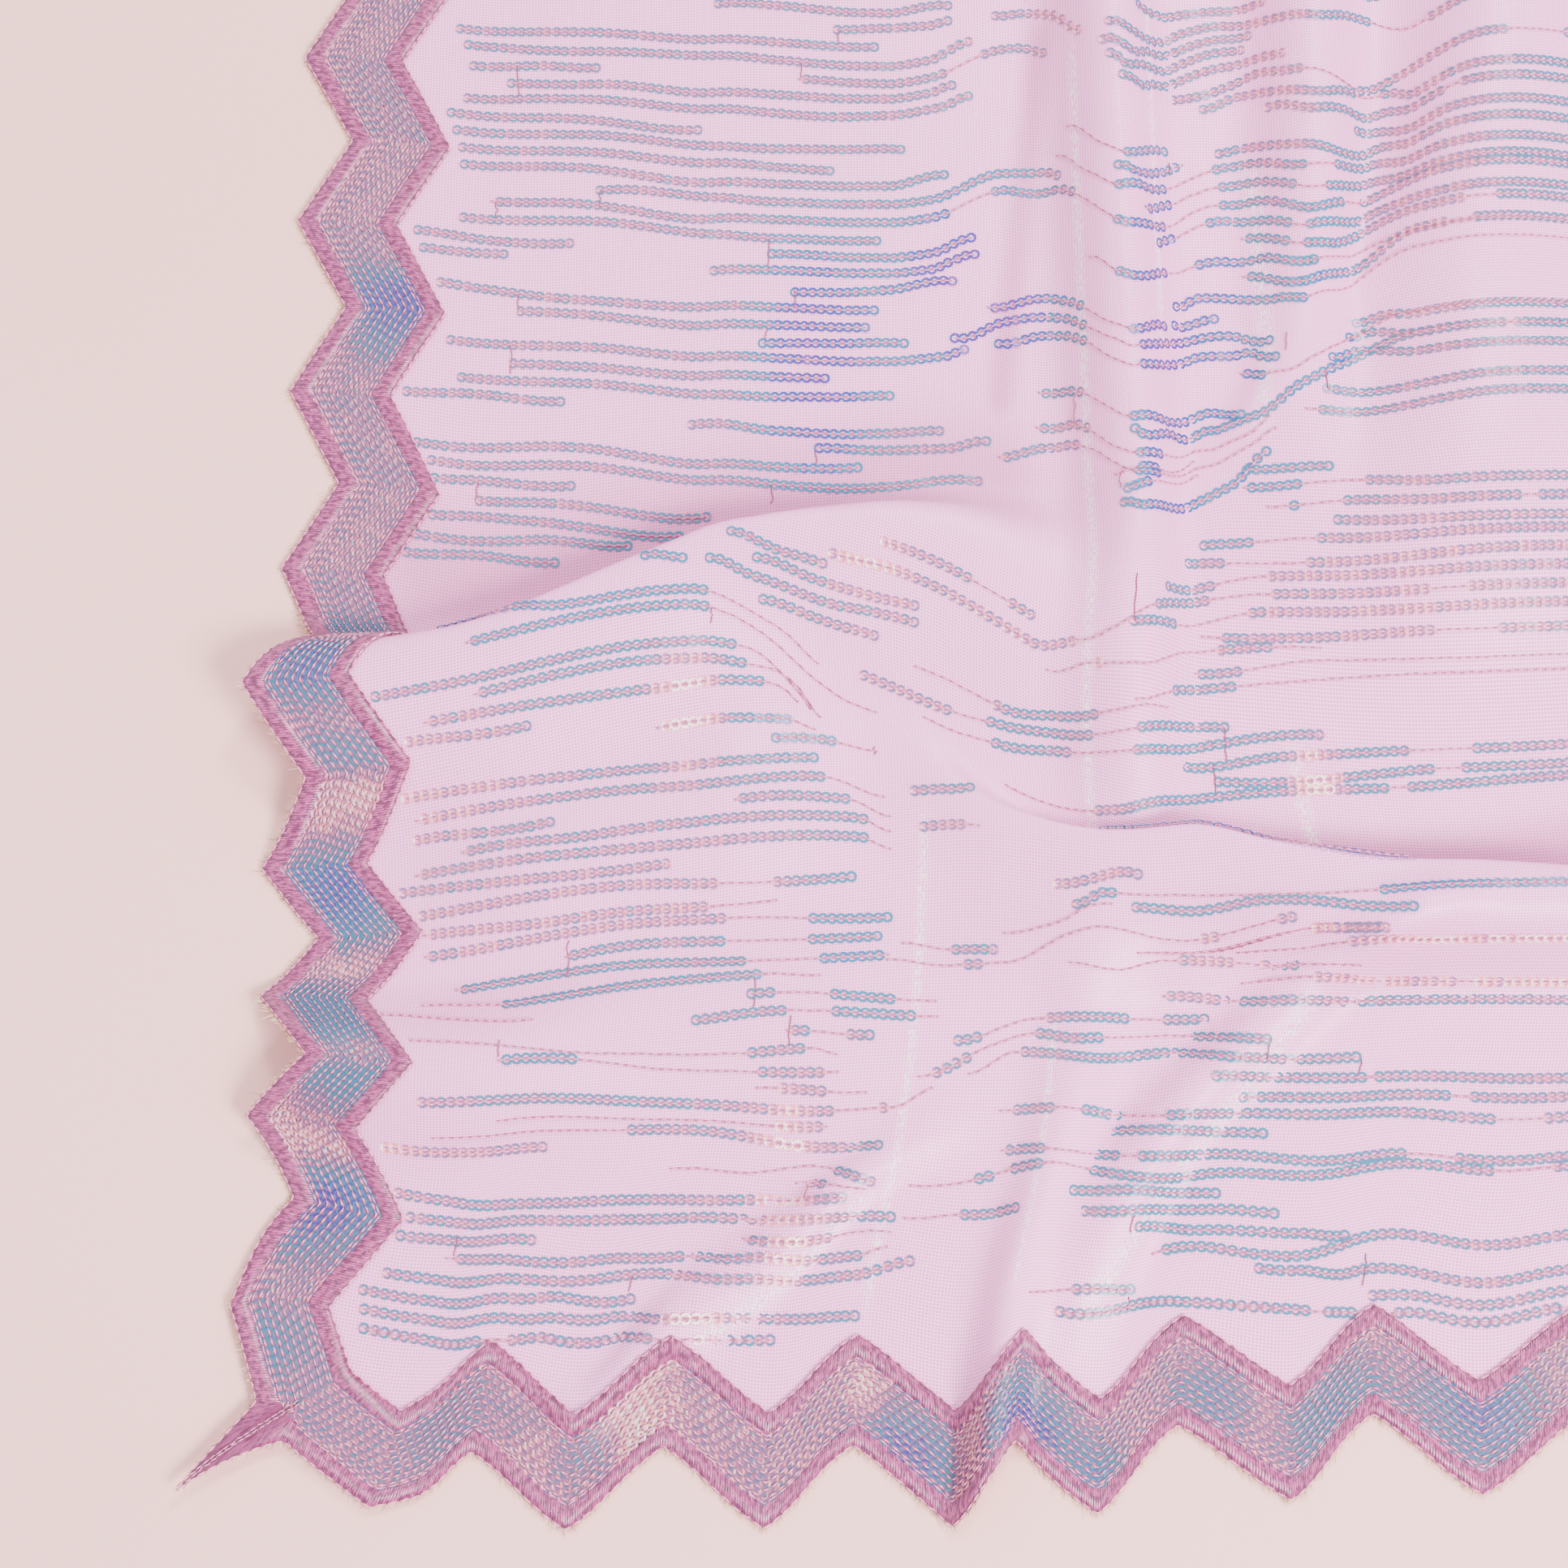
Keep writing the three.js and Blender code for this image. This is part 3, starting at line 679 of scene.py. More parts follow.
def net_columns():
    fine = lines_between(0, 18 * HALF_PITCH, HALF_PITCH / 7)
    coarse = np.arange(19, 2 * WAVES_ALONG + 1) * HALF_PITCH
    halves = coarse - HALF_PITCH / 2
    reach = [(at, abs(lean) / 2 + half) for at, lean, _, half, _, _ in BODY_WAVES]
    near = [h for h in halves if h < 700 or any(abs(h - at) < r for at, r in reach)]
    return np.unique(np.concatenate([fine, coarse, near]))


def net_rows():
    fine = lines_between(0, 22 * HALF_PITCH, HALF_PITCH / 7)
    folded = lines_between(6 * HALF_PITCH, 13 * HALF_PITCH, HALF_PITCH / 14)
    coarse = np.arange(23, 2 * WAVES_ACROSS + 1) * HALF_PITCH
    return np.unique(np.round(np.concatenate([fine, folded, coarse]), 4))


def add_net():
    """The whole length of net, its grid following the zigzag near the edges."""
    a, b = np.meshgrid(net_columns(), net_rows(), indexing="ij")
    along = a + notch(b) * edge_share(a)
    across = b + notch(a) * (edge_share(b) - edge_share(WIDTH - b))
    points, _ = cloth(along, across)
    faces = grid_faces(*a.shape)[:, ::-1]
    return piece("net_cloth", points, faces, NET_CLOTH,
                 cut=np.stack([along, across], -1), stands_for=("net",))


# ---------------------------------------------------------------- the borders
class Border:
    """One zigzag border: its place along its run and depth into it, as a place on the cut."""

    def __init__(self, name, length, has_far_corner, shown, to_cut):
        self.name = name
        self.length = length
        self.has_far_corner = has_far_corner
        self.shown = shown
        self.to_cut = to_cut

    def place(self, run, depth):
        """The cut place of a run that is counted from mitre to mitre."""
        start = mitre(depth)
        kink = np.maximum(HALF_PITCH, start)

        def from_corner(u):
            rising = start + (kink - start) * np.clip(u / HALF_PITCH, 0, 1)
            return np.where(u < HALF_PITCH, rising,
                            kink + (PITCH - kink) * (u - HALF_PITCH) / HALF_PITCH)

        t = np.where(run < PITCH, from_corner(run), run)
        if self.has_far_corner:
            left = self.length - run
            t = np.where(left < PITCH, self.length - from_corner(left), t)
        return self.to_cut(t, notch(t) + depth)


HEM = Border("hem", LENGTH, False, SHOWN_ALONG, lambda t, d: (t, d))
TOP = Border("top", LENGTH, False, 0, lambda t, d: (t, WIDTH - d))
PALLU = Border("pallu", WIDTH, True, SHOWN_ACROSS, lambda t, d: (d, t))
BORDERS = (PALLU, HEM, TOP)
SATIN = 6.9
SATIN_PROFILE = [(0, 0.25), (0.3, 1.0), (1.7, 1.55), (3.45, 1.75), (5.2, 1.55), (6.6, 1.05),
                 (SATIN, 0.7)]
SPIKE_REACH = 40.0
SPIKE_WIDER = 2.3
SPIKE_CLEAR = 54.0


def border_runs(border):
    fine_to = border.shown
    fine = lines_between(0, fine_to, HALF_PITCH / 10) if fine_to else np.zeros(1)
    coarse = np.arange(fine_to, border.length + 1, HALF_PITCH / 3)
    if border.has_far_corner:
        coarse = lines_between(fine_to, border.length, HALF_PITCH / 5)
    return np.unique(np.round(np.concatenate([fine, coarse]), 4))


def strip(border, profile):
    """A strip along a border with that profile of (depth, height over the net)."""
    depth, height = np.array(profile, float).T
    run = border_runs(border)
    u, d = np.meshgrid(run, depth, indexing="ij")
    if depth[0] == 0 and border.shown:
        d = d * (1 + (SPIKE_WIDER - 1) * bump(u / SPIKE_REACH))
    h = np.broadcast_to(height, u.shape)
    along, across = border.place(u, d)
    points, _ = cloth(along, across, h)
    faces = grid_faces(*u.shape)
    corners = points.reshape(-1, 3)[faces]
    diagonal = np.cross(corners[:, 2] - corners[:, 0], corners[:, 3] - corners[:, 1])
    faces = faces[np.linalg.norm(diagonal, axis=-1) > 1e-4]
    return points.reshape(-1, 3), faces, np.stack([u * CHEVRON_STRETCH, d], -1).reshape(-1, 2)


def merged(parts):
    """Several (points, faces, extra) meshes as one."""
    points, faces, extra, count = [], [], [], 0
    for p, f, e in parts:
        points.append(p)
        faces.append(f + count)
        extra.append(e)
        count += len(p)
    return np.concatenate(points), np.concatenate(faces), np.concatenate(extra)


def add_border_grounds():
    """The strips of cloth under the stitching."""
    profile = [(0.6, 0.5), (0.8, 0.75)] + [(d, 0.9) for d in np.linspace(3, BAND - 3, 7)]
    profile += [(BAND - 0.8, 0.75), (BAND - 0.6, 0.5)]
    made = []
    for border in BORDERS:
        points, faces, cut = strip(border, profile)
        made.append(piece("border_" + border.name + "_ground", points, faces, BORDER_CLOTH,
                          cut=cut, stands_for=("border_" + border.name,)))
    return made


def add_satin_bands():
    """A raised band along each edge of each border."""
    made = []
    for border in BORDERS:
        inner = [(BAND - d, h) for d, h in SATIN_PROFILE[::-1]]
        points, faces, cut = merged([strip(border, SATIN_PROFILE), strip(border, inner)])
        made.append(piece("satin_bands_" + border.name, points, faces, SATIN_THREAD,
                          cut=cut))
    return made


# ---------------------------------------------------------------- threads
def line(along, across, height, radius, colour):
    """A line on the cut, with a height, a radius and a colour at each of its places."""
    count = len(along)
    rest = [np.broadcast_to(v, count) for v in (across, height, radius)]
    return np.column_stack([along, *rest, np.broadcast_to(colour, (count, 4))])


def tubes(lines):
    """Three-sided tubes along lines on the cloth."""
    rows = np.concatenate(lines)
    owner = np.repeat(np.arange(len(lines)), [len(made) for made in lines])
    centre, normal = cloth(rows[:, 0], rows[:, 1], rows[:, 2])
    is_joined = owner[1:] == owner[:-1]
    way = np.where(is_joined[:, None], np.diff(centre, axis=0), 0)
    ahead = np.zeros_like(centre)
    ahead[:-1] += way
    ahead[1:] += way
    side = unit(np.cross(normal, unit(ahead)))
    radius = rows[:, 3:4]
    ring = np.stack([centre + normal * radius,
                     centre - side * radius * 0.87 - normal * radius * 0.5,
                     centre + side * radius * 0.87 - normal * radius * 0.5], 1)
    first = np.flatnonzero(is_joined)[:, None] * 3
    corner = np.arange(3)
    after = (corner + 1) % 3
    faces = np.stack([first + corner, first + after, first + 3 + after, first + 3 + corner], -1)
    tint = np.repeat(rows[:, None, 4:], 3, axis=1)
    return ring.reshape(-1, 3), faces.reshape(-1, 4), tint.reshape(-1, 4)


def rgba(*rgb):
    """A colour of 0 to 255 as the mesh carries it, at full strength."""
    return np.array([*linear(*rgb), 1.0])


CHAIN_PALE = rgba(246, 146, 196)
CHAIN_ROSE = rgba(136, 38, 84)
CHAIN_DARK = rgba(112, 34, 72)


# ---------------------------------------------------------------- sequins
RING_SIDES = 12
# Painted reflection: the sequin film's colour and strength by how far it is turned from the glint,
# white where it would flash.
PAINTED_REFLECTION_STOPS = [  # how far the sequin is turned from the glint, its colour and strength
    (0.000, (255, 255, 255), 1.0), (0.020, (255, 226, 204), 0.95), (0.042, (255, 130, 140), 0.85),
    (0.066, (146, 92, 142), 0.8), (0.094, (64, 96, 136), 0.9), (0.118, (0, 118, 142), 1.0),
    (0.155, (0, 112, 156), 1.0), (0.185, (0, 62, 150), 1.0), (0.235, (52, 16, 146), 0.95),
    (0.290, (140, 30, 140), 0.8), (0.360, (150, 92, 140), 0.6), (0.500, (168, 104, 150), 0.45),
    (1.500, (168, 104, 150), 0.4),
]
CUP = 0.06
FILM_IN_FIELD = 1.0
FILM_IN_BORDER = 0.55
# Zones where the film's painted reflection changes colour: middle and reach in mm from the
# camera's target, how far the sequins are turned there, and how strongly.
FIELD_TURN = 0.09
FIELD_ZONES = [
    ((65, 166), (40, 48), 0.245, 1.0), ((138, 154), (58, 70), 0.185, 1.0),
    ((138, 96), (50, 26), 0.16, 0.9), ((-32, 45), (84, 46), 0.142, 1.0),
    ((82, 18), (28, 16), 0.15, 0.9), ((-64, -98), (64, 30), 0.135, 0.9),
    ((10, 140), (26, 60), 0.27, 0.7),
    ((170, -20), (86, 70), 0.128, 0.9), ((120, -120), (90, 60), 0.125, 0.8),
    ((20, -50), (30, 40), 0.14, 0.8), ((-30, 21), (15, 26), 0.0, 1.0),
    ((166, 0), (12, 18), 0.01, 1.0), ((0, -126), (12, 32), 0.0, 1.0),
    ((-29, -165), (10, 16), 0.0, 1.0), ((26, 70), (18, 14), 0.02, 0.9),
]
# The same for the borders' sequins: zones where their painted reflection changes colour.
BORDER_TURN = 0.068
BORDER_ZONES = [
    ((-125, 160), (26, 24), 0.21, 0.8), ((-146, 30), (26, 14), 0.155, 1.0),
    ((-136, 6), (28, 9), 0.15, 1.0), ((-138, -34), (26, 24), 0.185, 0.8),
    ((-137, -60), (20, 8), 0.05, 0.9), ((-128, 180), (20, 10), 0.055, 0.9),
    ((-134, 47), (20, 8), 0.05, 0.9), ((-138, 118), (16, 6), 0.055, 0.7),
    ((-130, -98), (28, 16), 0.16, 1.0), ((-126, -86), (18, 6), 0.02, 0.8),
    ((-140, -132), (26, 18), 0.19, 1.0), ((-158, -172), (18, 12), 0.14, 0.7),
    ((-98, -196), (20, 16), 0.12, 0.6), ((-42, -198), (14, 20), 0.015, 1.0),
    ((-60, -202), (12, 12), 0.12, 0.8), ((34, -208), (20, 22), 0.21, 0.9),
    ((58, -222), (10, 12), 0.02, 0.9), ((72, -200), (16, 20), 0.23, 0.8),
    ((92, -212), (12, 16), 0.15, 1.0), ((112, -204), (12, 12), 0.05, 0.9),
    ((126, -190), (14, 14), 0.18, 0.7), ((168, -198), (24, 26), 0.15, 1.0),
    ((206, -190), (20, 24), 0.2, 0.8), ((24, -184), (8, 12), 0.01, 0.7),
]
SLOPE_TELLS = 0.55
AWAY_TELLS = 0.16
ASIDE_TELLS = 0.1
TILT_TELLS = 0.35
ZONE_RIM = 1.25


def turned_at(place, base, zones):
    """How far the sequins at a place are turned, with each zone fading out at its rim."""
    turned = np.full(len(place), base)
    for middle, reach, value, share in zones:
        far = np.linalg.norm((place - np.array(middle)) / np.array(reach), axis=1)
        turned += share * bump(far / ZONE_RIM) * (value - turned)
    return turned


def painted_sequin_reflection(points, facing, steady_normal, outward, base, zones, strength):
    """The film's painted reflection colour and strength around each sequin, by where it is and how
    it is turned.
    """
    place = points[:, :2] - VIEW_MIDDLE[:2]
    tilt = facing[:, :2] - steady_normal[:, :2]
    lean = steady_normal[:, 1] * AWAY_TELLS + steady_normal[:, 0] * ASIDE_TELLS
    turned = turned_at(place, base, zones) + SLOPE_TELLS * (lean + TILT_TELLS * tilt[:, 0])
    cup = CUP * (np.abs(outward[..., 1]) - 0.5 + 0.25 * outward[..., 0])
    turned = np.abs(turned[:, None] + cup)
    stops = np.array([[at, *linear(*colour), share] for at, colour, share in PAINTED_REFLECTION_STOPS])
    made = np.stack([np.interp(turned, stops[:, 0], stops[:, k]) for k in range(1, 5)], -1)
    made[..., 3] *= strength
    return made


def sequins(rows, base, zones, strength):
    """Flat rings at places on the cut: along, across, the row's way on the cut, height."""
    along, across, way_along, way_across, height = np.concatenate(rows).T
    centre, normal = cloth(along, across, height)
    beside = lay(along + way_along * PROBE, across + way_across * PROBE)
    ahead = unit(beside + normal * height[:, None] - centre)
    side = np.cross(normal, ahead)
    tilt = rng.normal(0, 0.05, (len(centre), 2))
    tilt[:, 0] += 0.07
    e1 = unit(ahead + normal * tilt[:, :1])
    e2 = unit(side + normal * tilt[:, 1:])
    turn = np.linspace(0, 2 * np.pi, RING_SIDES, endpoint=False)
    spoke = np.cos(turn)[:, None] * e1[:, None] + np.sin(turn)[:, None] * e2[:, None]
    points = np.concatenate([centre[:, None] + spoke * SEQUIN_INNER,
                             centre[:, None] + spoke * SEQUIN_OUTER], 1)
    k = np.arange(RING_SIDES)
    after = (k + 1) % RING_SIDES
    one = np.stack([k, k + RING_SIDES, after + RING_SIDES, after], -1)
    faces = (np.arange(len(centre))[:, None, None] * 2 * RING_SIDES + one).reshape(-1, 4)
    facing = unit(np.cross(e1, e2))
    # Painted reflection: each sequin's colour and strength are set from how it is turned, as a glint
    # would colour it.
    film = painted_sequin_reflection(centre, facing, normal, spoke, base, zones, strength)
    tint = np.concatenate([film, film], 1)
    return points.reshape(-1, 3), faces, tint.reshape(-1, 4)


# ---------------------------------------------------------------- rows of the field
# Each row: its places as along,across in mm, then the stretches that carry sequins. A row
# with no stretch is sequinned all along, and one with a dash is thread alone. Most of these
# places were read by eye and turned into places on the cut by a scratch program. The rest,
# and the stretches, were typed.
FIELD_ROWS = """
239,554 250,556.5 259,553.5 272,541 : 238-270 287-302 344-351 | 141,552 200,548.5 223,554 |
296,548.5 307,551.5 345,555 | 52,545.5 79,546 140,539 197,536 | 183,542.5 200,543 216,545.5
223,548.5 | 55,540 200,529 215,532.5 232,543 | 282,539 292,536.5 316,546 333,549 363,544.5 386,554
406,545 | 279,533.5 292,529 301,534.5 336,544.5 342,544.5 | 57,532.5 80,533.5 101,531.5 | 282,527.5
289,523 300,528.5 337,540 | 70,527 100,525.5 140,519.5 200,517 215,520.5 224,525 | 169,524 200,522.5
215,526 240,541.5 249,543.5 259,540.5 : 170-220 234-259 | 311,521.5 320,522.5 341,529.5 352,526
365,525 374,527.5 | 55,520.5 80,521.5 140,513.5 180,510.5 200,511 220,516.5 230,522.5 | 287,519
295,518.5 303,524 341,535 351,533 | 322,518 335,523 362,517 381,524 394,523 406,515.5 | 345,515.5
360,511 379,516 392,515.5 406,509.5 | 50,514.5 80,514.5 136,506.5 | 264,511 278,497 288,491.5
309,502 : 286-308 | 381,510 390,508.5 406,500.5 | 52,508.5 80,508.5 160,498.5 208,499 | 54,502.5
80,502.5 140,494 182,491 | 260,502.5 272,490.5 285,480.5 296,482 310,490 336,498 356,491.5 387,495
406,486 : 284-306 325-356 371-383 | 327,502 334,504 357,498.5 368,498 390,501 406,494 | 55,496.5
80,497 140,487 180,485.5 200,485.5 222,492 | 284,487.5 291,485.5 315,498 : 282-312 328-358 368-385 |
101,487 160,479.5 200,479 215,482 240,496.5 255,498.5 261,495.5 | 64,484 81,484 140,474 200,472.5
215,475.5 243,491 258,491 288,467 326,483.5 337,484 360,476 379,480 407,476.5 : 65-222 236-266
283-306 326-384 | 55,477.5 81,477.5 160,466.5 199,466 | 295,474.5 307,482.5 327,490 336,491
360,483.5 385,487.5 406,479.5 : 298-307 327-353 366-382 | 334,471.5 358,463 370,461 385,464.5
406,463.5 : 335-350 358-368 | 40,471 93,469 | 302,466 306,469.5 329,478 340,476.5 359,470 386,471.5
406,468 : 302-308 322-352 358-370 | 42,465 70,465.5 | 271,461.5 282,451.5 290,448.5 307,458
327,463.5 340,463 361,455 388,454.5 : 281-306 319-362 | 160,461 200,460 215,463 232,472 | 334,458
362,446 385,447 406,455.5 : 336-366 | 140,455.5 199,454.5 214,457 232,466 | 48,453.5 141,443
197,441.5 | 234,448 254,454 263,450.5 280,434.5 289,430 304,437 : 235-268 287-303 | 168,447.5
199,448.5 223,454.5 | 309,447 319,450.5 329,450.5 347,446 361,438 374,438 406,448.5 : 307-358 |
75,445.5 141,436.5 195,435.5 | 308,440 326,443.5 | 238,436 254,441 261,439.5 268,435 279,422.5
288,417 319,430 334,430.5 347,418.5 : 238-268 292-350 | 223,434.5 240,444 254,447.5 261,445.5
280,429 288,424 312,435 329,437.5 346,429.5 : 222-270 292-348 | 52,434 82,433.5 141,425.5 199,423
219,427 229,432 | 157,429.5 206,430 | 73,427.5 140,419 181,417 | 381,423.5 392,426 401,424.5 |
332,422 342,412.5 354,405 361,408 380,425.5 : 334-343 | 56,422 80,421.5 160,410.5 202,410 | 251,420
262,419 287,398 299,400.5 319,408.5 338,393.5 : 252-267 285-336 | 377,417.5 385,420 400,417.5 |
38,415 61,417 92,414.5 | 369,408.5 381,413.5 398,411 | 250,406 262,406 281,387.5 288,384.5 315,389
327,383.5 338,384 349,390 : 252-268 288-300 | 133,403 160,398.5 200,395.5 220,398 | 42,399 81,400.5
140,388.5 190,383.5 | 366,398 430,401 : 366-382 | 47,394 81,394.5 140,383 200,375.5 231,381 |
287,393.5 291,391 306,398 319,398 327,393 342,390.5 356,398 377,417.5 | 237,392 253,398 261,398.5
269,394 279,383 286,378 296,377 316,379.5 326,377 339,380 349,385 : 238-266 286-298 | 176,391.5
200,389 220,391.5 234,397.5 | 358,391 430,395 : 362-376 | 48,388.5 62,389.5 94,387 | 63,383 81,382.5
139,371 | 278,379 300,379 320,384 : 288-298 | 45,376.5 62,378 81,376.5 131,366 | 337,372 367,374 |
283,372 320,376 : 283-292 | 43,369.5 82,370.5 113,365 | 281,367 291,363 319,365 331,367.5 347,378.5
| 335,366.5 375,370 391,368.5 : 336-354 376-480 | 40,363 62,365.5 90,362.5 | 342,361 374,364 391,363
: 350-352 367-480 | 365,358 390,357.5 | 320,349.5 358,352.5 430,354 : 320-336 358-480 | 313,344
430,349 : 313-326 353-480 | 303,334.5 340,341 430,344 : 303-322 340-480 | 317,323 388,327.5 :
325-480 | 287,323 305,324 340,331 430,334 : 287-307 333-480 | 201,322 250,320 : 201-228 243-250 |
262,318 297,328 340,336 430,339 : 297-320 341-480 | 152,314 170,309.5 183,309.5 | 314,313.5
359,319.5 387,320.5 : 316-329 | 185,313.5 203,314.5 250,312 266,318 | 60,313 100,300.5 140,296
170,284 182,276 : 60-144 | 125,310 140,306 | 161,306.5 180,304 200,304.5 214,306 | 255,306 270,311.5
292,312 313,318.5 359,322.5 : 272-275 323-341 | 146,305 160,300.5 180,298 200,300 213,301 | 288,303
311,309 387,317 : 304-328 | 69,297 132,292.5 152,288 162,283 181,268.5 191,263.5 201,262.5 : 70-146
| 163,293.5 180,292 200,293 | 310,289 343,294.5 386,298.5 | 212,288 240,287 260,294 304,303 :
238-273 | 38,286 81,285 157,278 162,275.5 168,269.5 175,260 179,249.5 : 40-152 | 321,285.5 386,293.5
| 148,284.5 154,283.5 | 71,280.5 164,271.5 172,266.5 180,254 : 72-156 | 195,278 220,278 240,281.5
260,288.5 327,301 : 195-222 236-270 291-327 | 55,275.5 131,268 161,267 168,264.5 173,259.5 : 56-160
| 47,271 89,267 | 214,271 240,275 260,283 300,292 358,301 : 238-262 289-358 | 240,262 280,270
300,276.5 360,286 430,290 : 272-480 | 126,256 168,253 179,249 : 127-169 | 44,255 145,240 178,238 |
49,247.5 144,233 179,230.5 202,220.5 : 50-180 | 164,246 178,245.5 199,241.5 : 164-182 | 49,241
93,234 | 63,232.5 104,225 190,214.5 202,208.5 : 64-192 | 48,228 122,216 191,208 202,203 : 49-192 |
150,226 187,221.5 202,213.5 : 151-187 | 41,222.5 130,209 | 209,222.5 222,224.5 229,232.5 | 272,217
302,216.5 332,207.5 372,199 | 47,212.5 189,195.5 : 47-144 164-188 | 212,209 233,208.5 : 212-224 |
50,204.5 94,198 166,191 : 52-142 | 50,195.5 147,187.5 201,181 : 51-147 174-200 | 256,192.5 279,198
286,197 | 282,186 302,183.5 322,185.5 333,184.5 370,177.5 | 262,186 272,191 360,185.5 400,186 :
262-276 360-480 | 95,184 200,175 : 96-148 174-200 | 60,179.5 202,168.5 : 61-153 180-200 | 238,174.5
256,179 269,186.5 276,187 : 283-288 | 50,174 81,169 161,166 181,163.5 : 75-160 | 205,172 222,169
236,169 : 222-236 | 38,170 89,160.5 : - | 283,168 300,167 340,173 362,170 : 340-362 | 284,168
307,167 339,173 361,170.5 : 340-362 | 200,167 220,164 240,165 260,175 270,178 300,172 335,178 :
226-231 304-308 328-337 | 316,166 400,166 : 350-480 | 260,164.5 277,161.5 291,164.5 357,158 :
297-315 326-335 | 157,159.5 218,153 : 157-165 184-203 | 45,157.5 111,143 156,139.5 177,140 187,137.5
: 157-176 | 319,155 377,152.5 : 343-480 | 140,152 160,153 221,148 : 139-169 185-209 | 294,152
332,147.5 378,147 : 297-315 320-480 | 169,146 197,143 : 170-175 189-198 | 76,145.5 137,135 190,132 :
79-100 162-181 | 225,140.5 249,147 311,144 : 225-231 255-282 296-313 | 53,131 194,120 206,120
220,126.5 : 52-186 201-205 | 229,130.5 244,137 276,133 297,134 324,130 362,129.5 : 245-362 |
213,129.5 237,139.5 249,142.5 267,139.5 295,139.5 331,135.5 : 218-228 251-275 305-330 | 161,128
200,125 : 168-184 | 316,124.5 383,122 | 77,122.5 186,115.5 : 170-182 | 240,119.5 307,113.5 362,112
385,109.5 : 246-259 271-286 303-480 | 327,118 384,116 | 56,117.5 120,116.5 205,108 : 120-204 |
42,112.5 95,111.5 | 285,110.5 337,106.5 | 242,107.5 272,104 388,97 : 243-258 279-287 296-480 |
137,102.5 159,101 180,104 206,96.5 : 190-208 | 177,99 203,94.5 : 182-186 | 44,97 91,92 119,94.5
150,91.5 170,93.5 197,92.5 : 47-206 | 215,96 250,101.5 320,94 400,94 : 234-239 248-258 280-480 |
275,92 292,92.5 328,87.5 | 49,89.5 89,86.5 120,88.5 144,86 176,87.5 212,86 | 281,86 298,86.5
325,82.5 345,82.5 | 215,86 233,89 252,89 : 232-252 | 50,83.5 98,80.5 | 300,81.5 325,76 352,77
371,73.5 | 164,81 213,81.5 : 165-192 | 65,77.5 95,74 122,77 142,74 158,74 172,76.5 203,74 213,77 :
69-205 | 48,72 93,68.5 124,71.5 155,67.5 174,70.5 204,68 222,74 | 308,72 340,70 400,72 : 313-480 |
42,66 94,62.5 109,65.5 134,63.5 | 343,66 354,66 374,61 395,61 | 266,60.5 292,64 304,63 : 282-302 |
43,60.5 95,56.5 110,59.5 126,59.5 146,54.5 175,59.5 206,55.5 | 280,56 301,58 329,53.5 350,55 385,47
396,49.5 | 44,55 93,50 106,53 127,53 146,48.5 178,53.5 | 383,52.5 396,54.5
"""
TABLE_ENDS_ALONG = 372.0
TABLE_ENDS_ACROSS = 557.0
CARRIED_ON_FROM = 400.0
FIELD_RING_HEIGHT = 0.35
STEP_HEIGHT = 0.4
FIELD_CHAIN_HEIGHT = 0.45
# Short threads that step from a row's end to the next row: along, from, to.
STEPS = [
    (183, 542, 537), (170, 530, 524), (72, 533, 521), (101, 487, 481), (66, 484, 478),
    (159, 466, 455), (168, 448, 442), (74, 452, 445), (158, 435, 430), (72, 434, 424),
    (175, 391, 385), (62, 389, 382), (160, 380, 373), (308, 498, 494), (146, 290, 285),
    (96, 190, 176), (158, 165, 155), (170, 151, 141), (76, 154, 147), (131, 71, 66),
    (68, 84, 78), (181, 98, 93), (331, 136, 130), (363, 129, 124), (302, 61, 57),
    (379, 66, 56), (297, 85, 80), (320, 291, 280), (324, 301, 292), (350, 427, 418),
    (366, 404, 398), (264, 417, 405), (280, 379, 373), (287, 338, 323), (196, 244, 240),
]


class Row:
    """One sewn row: its line on the cut and the stretches of it that carry sequins."""

    def __init__(self, line, ringed):
        self.line = line
        self.ringed = ringed
        self.start = line[0][0]
        self.end = line[-1][0]

    def across(self, along):
        return through(self.line, along)


def loose_stretches(start, end):
    """Sequinned stretches with bare gaps between them."""
    made = []
    while start < end:
        stop = start + rng.uniform(45, 150)
        made.append((start, min(stop, end)))
        start = stop + rng.uniform(6, 26)
    return made


def table_rows():
    """The rows of the table, carried on along the cut where they leave it."""
    made = []
    for text in FIELD_ROWS.split("|"):
        places, _, stretches = text.partition(":")
        line = [tuple(float(v) for v in place.split(",")) for place in places.split()]
        ringed = [tuple(float(v) for v in part.split("-"))
                  for part in stretches.split() if part != "-"]
        if not stretches:
            ringed = [(line[0][0], line[-1][0])]
        if line[-1][0] > TABLE_ENDS_ALONG:
            last_ring = max([end for _, end in ringed] + [0])
            line[-1] = (max(line[-1][0], CARRIED_ON_FROM), line[-1][1])
            line.append((SHOWN_ALONG + 4, line[-1][1]))
            if last_ring > TABLE_ENDS_ALONG - 8:
                kept = [part for part in ringed if part[1] < last_ring]
                starts = [start for start, end in ringed if end >= last_ring]
                ringed = kept + loose_stretches(starts[0], SHOWN_ALONG)
        made.append(Row(line, ringed))
    return made


def further_rows():
    """Rows on the part that lies beyond the table."""
    made = []
    for across in np.arange(TABLE_ENDS_ACROSS + 6, SHOWN_ACROSS, FIELD_ROW_PITCH):
        start = BAND + float(notch(across)) + rng.uniform(1.5, 9)
        line = [(start, across), (SHOWN_ALONG + 4, across + rng.uniform(-1, 1))]
        made.append(Row(line, loose_stretches(start + 3, SHOWN_ALONG)))
    return made


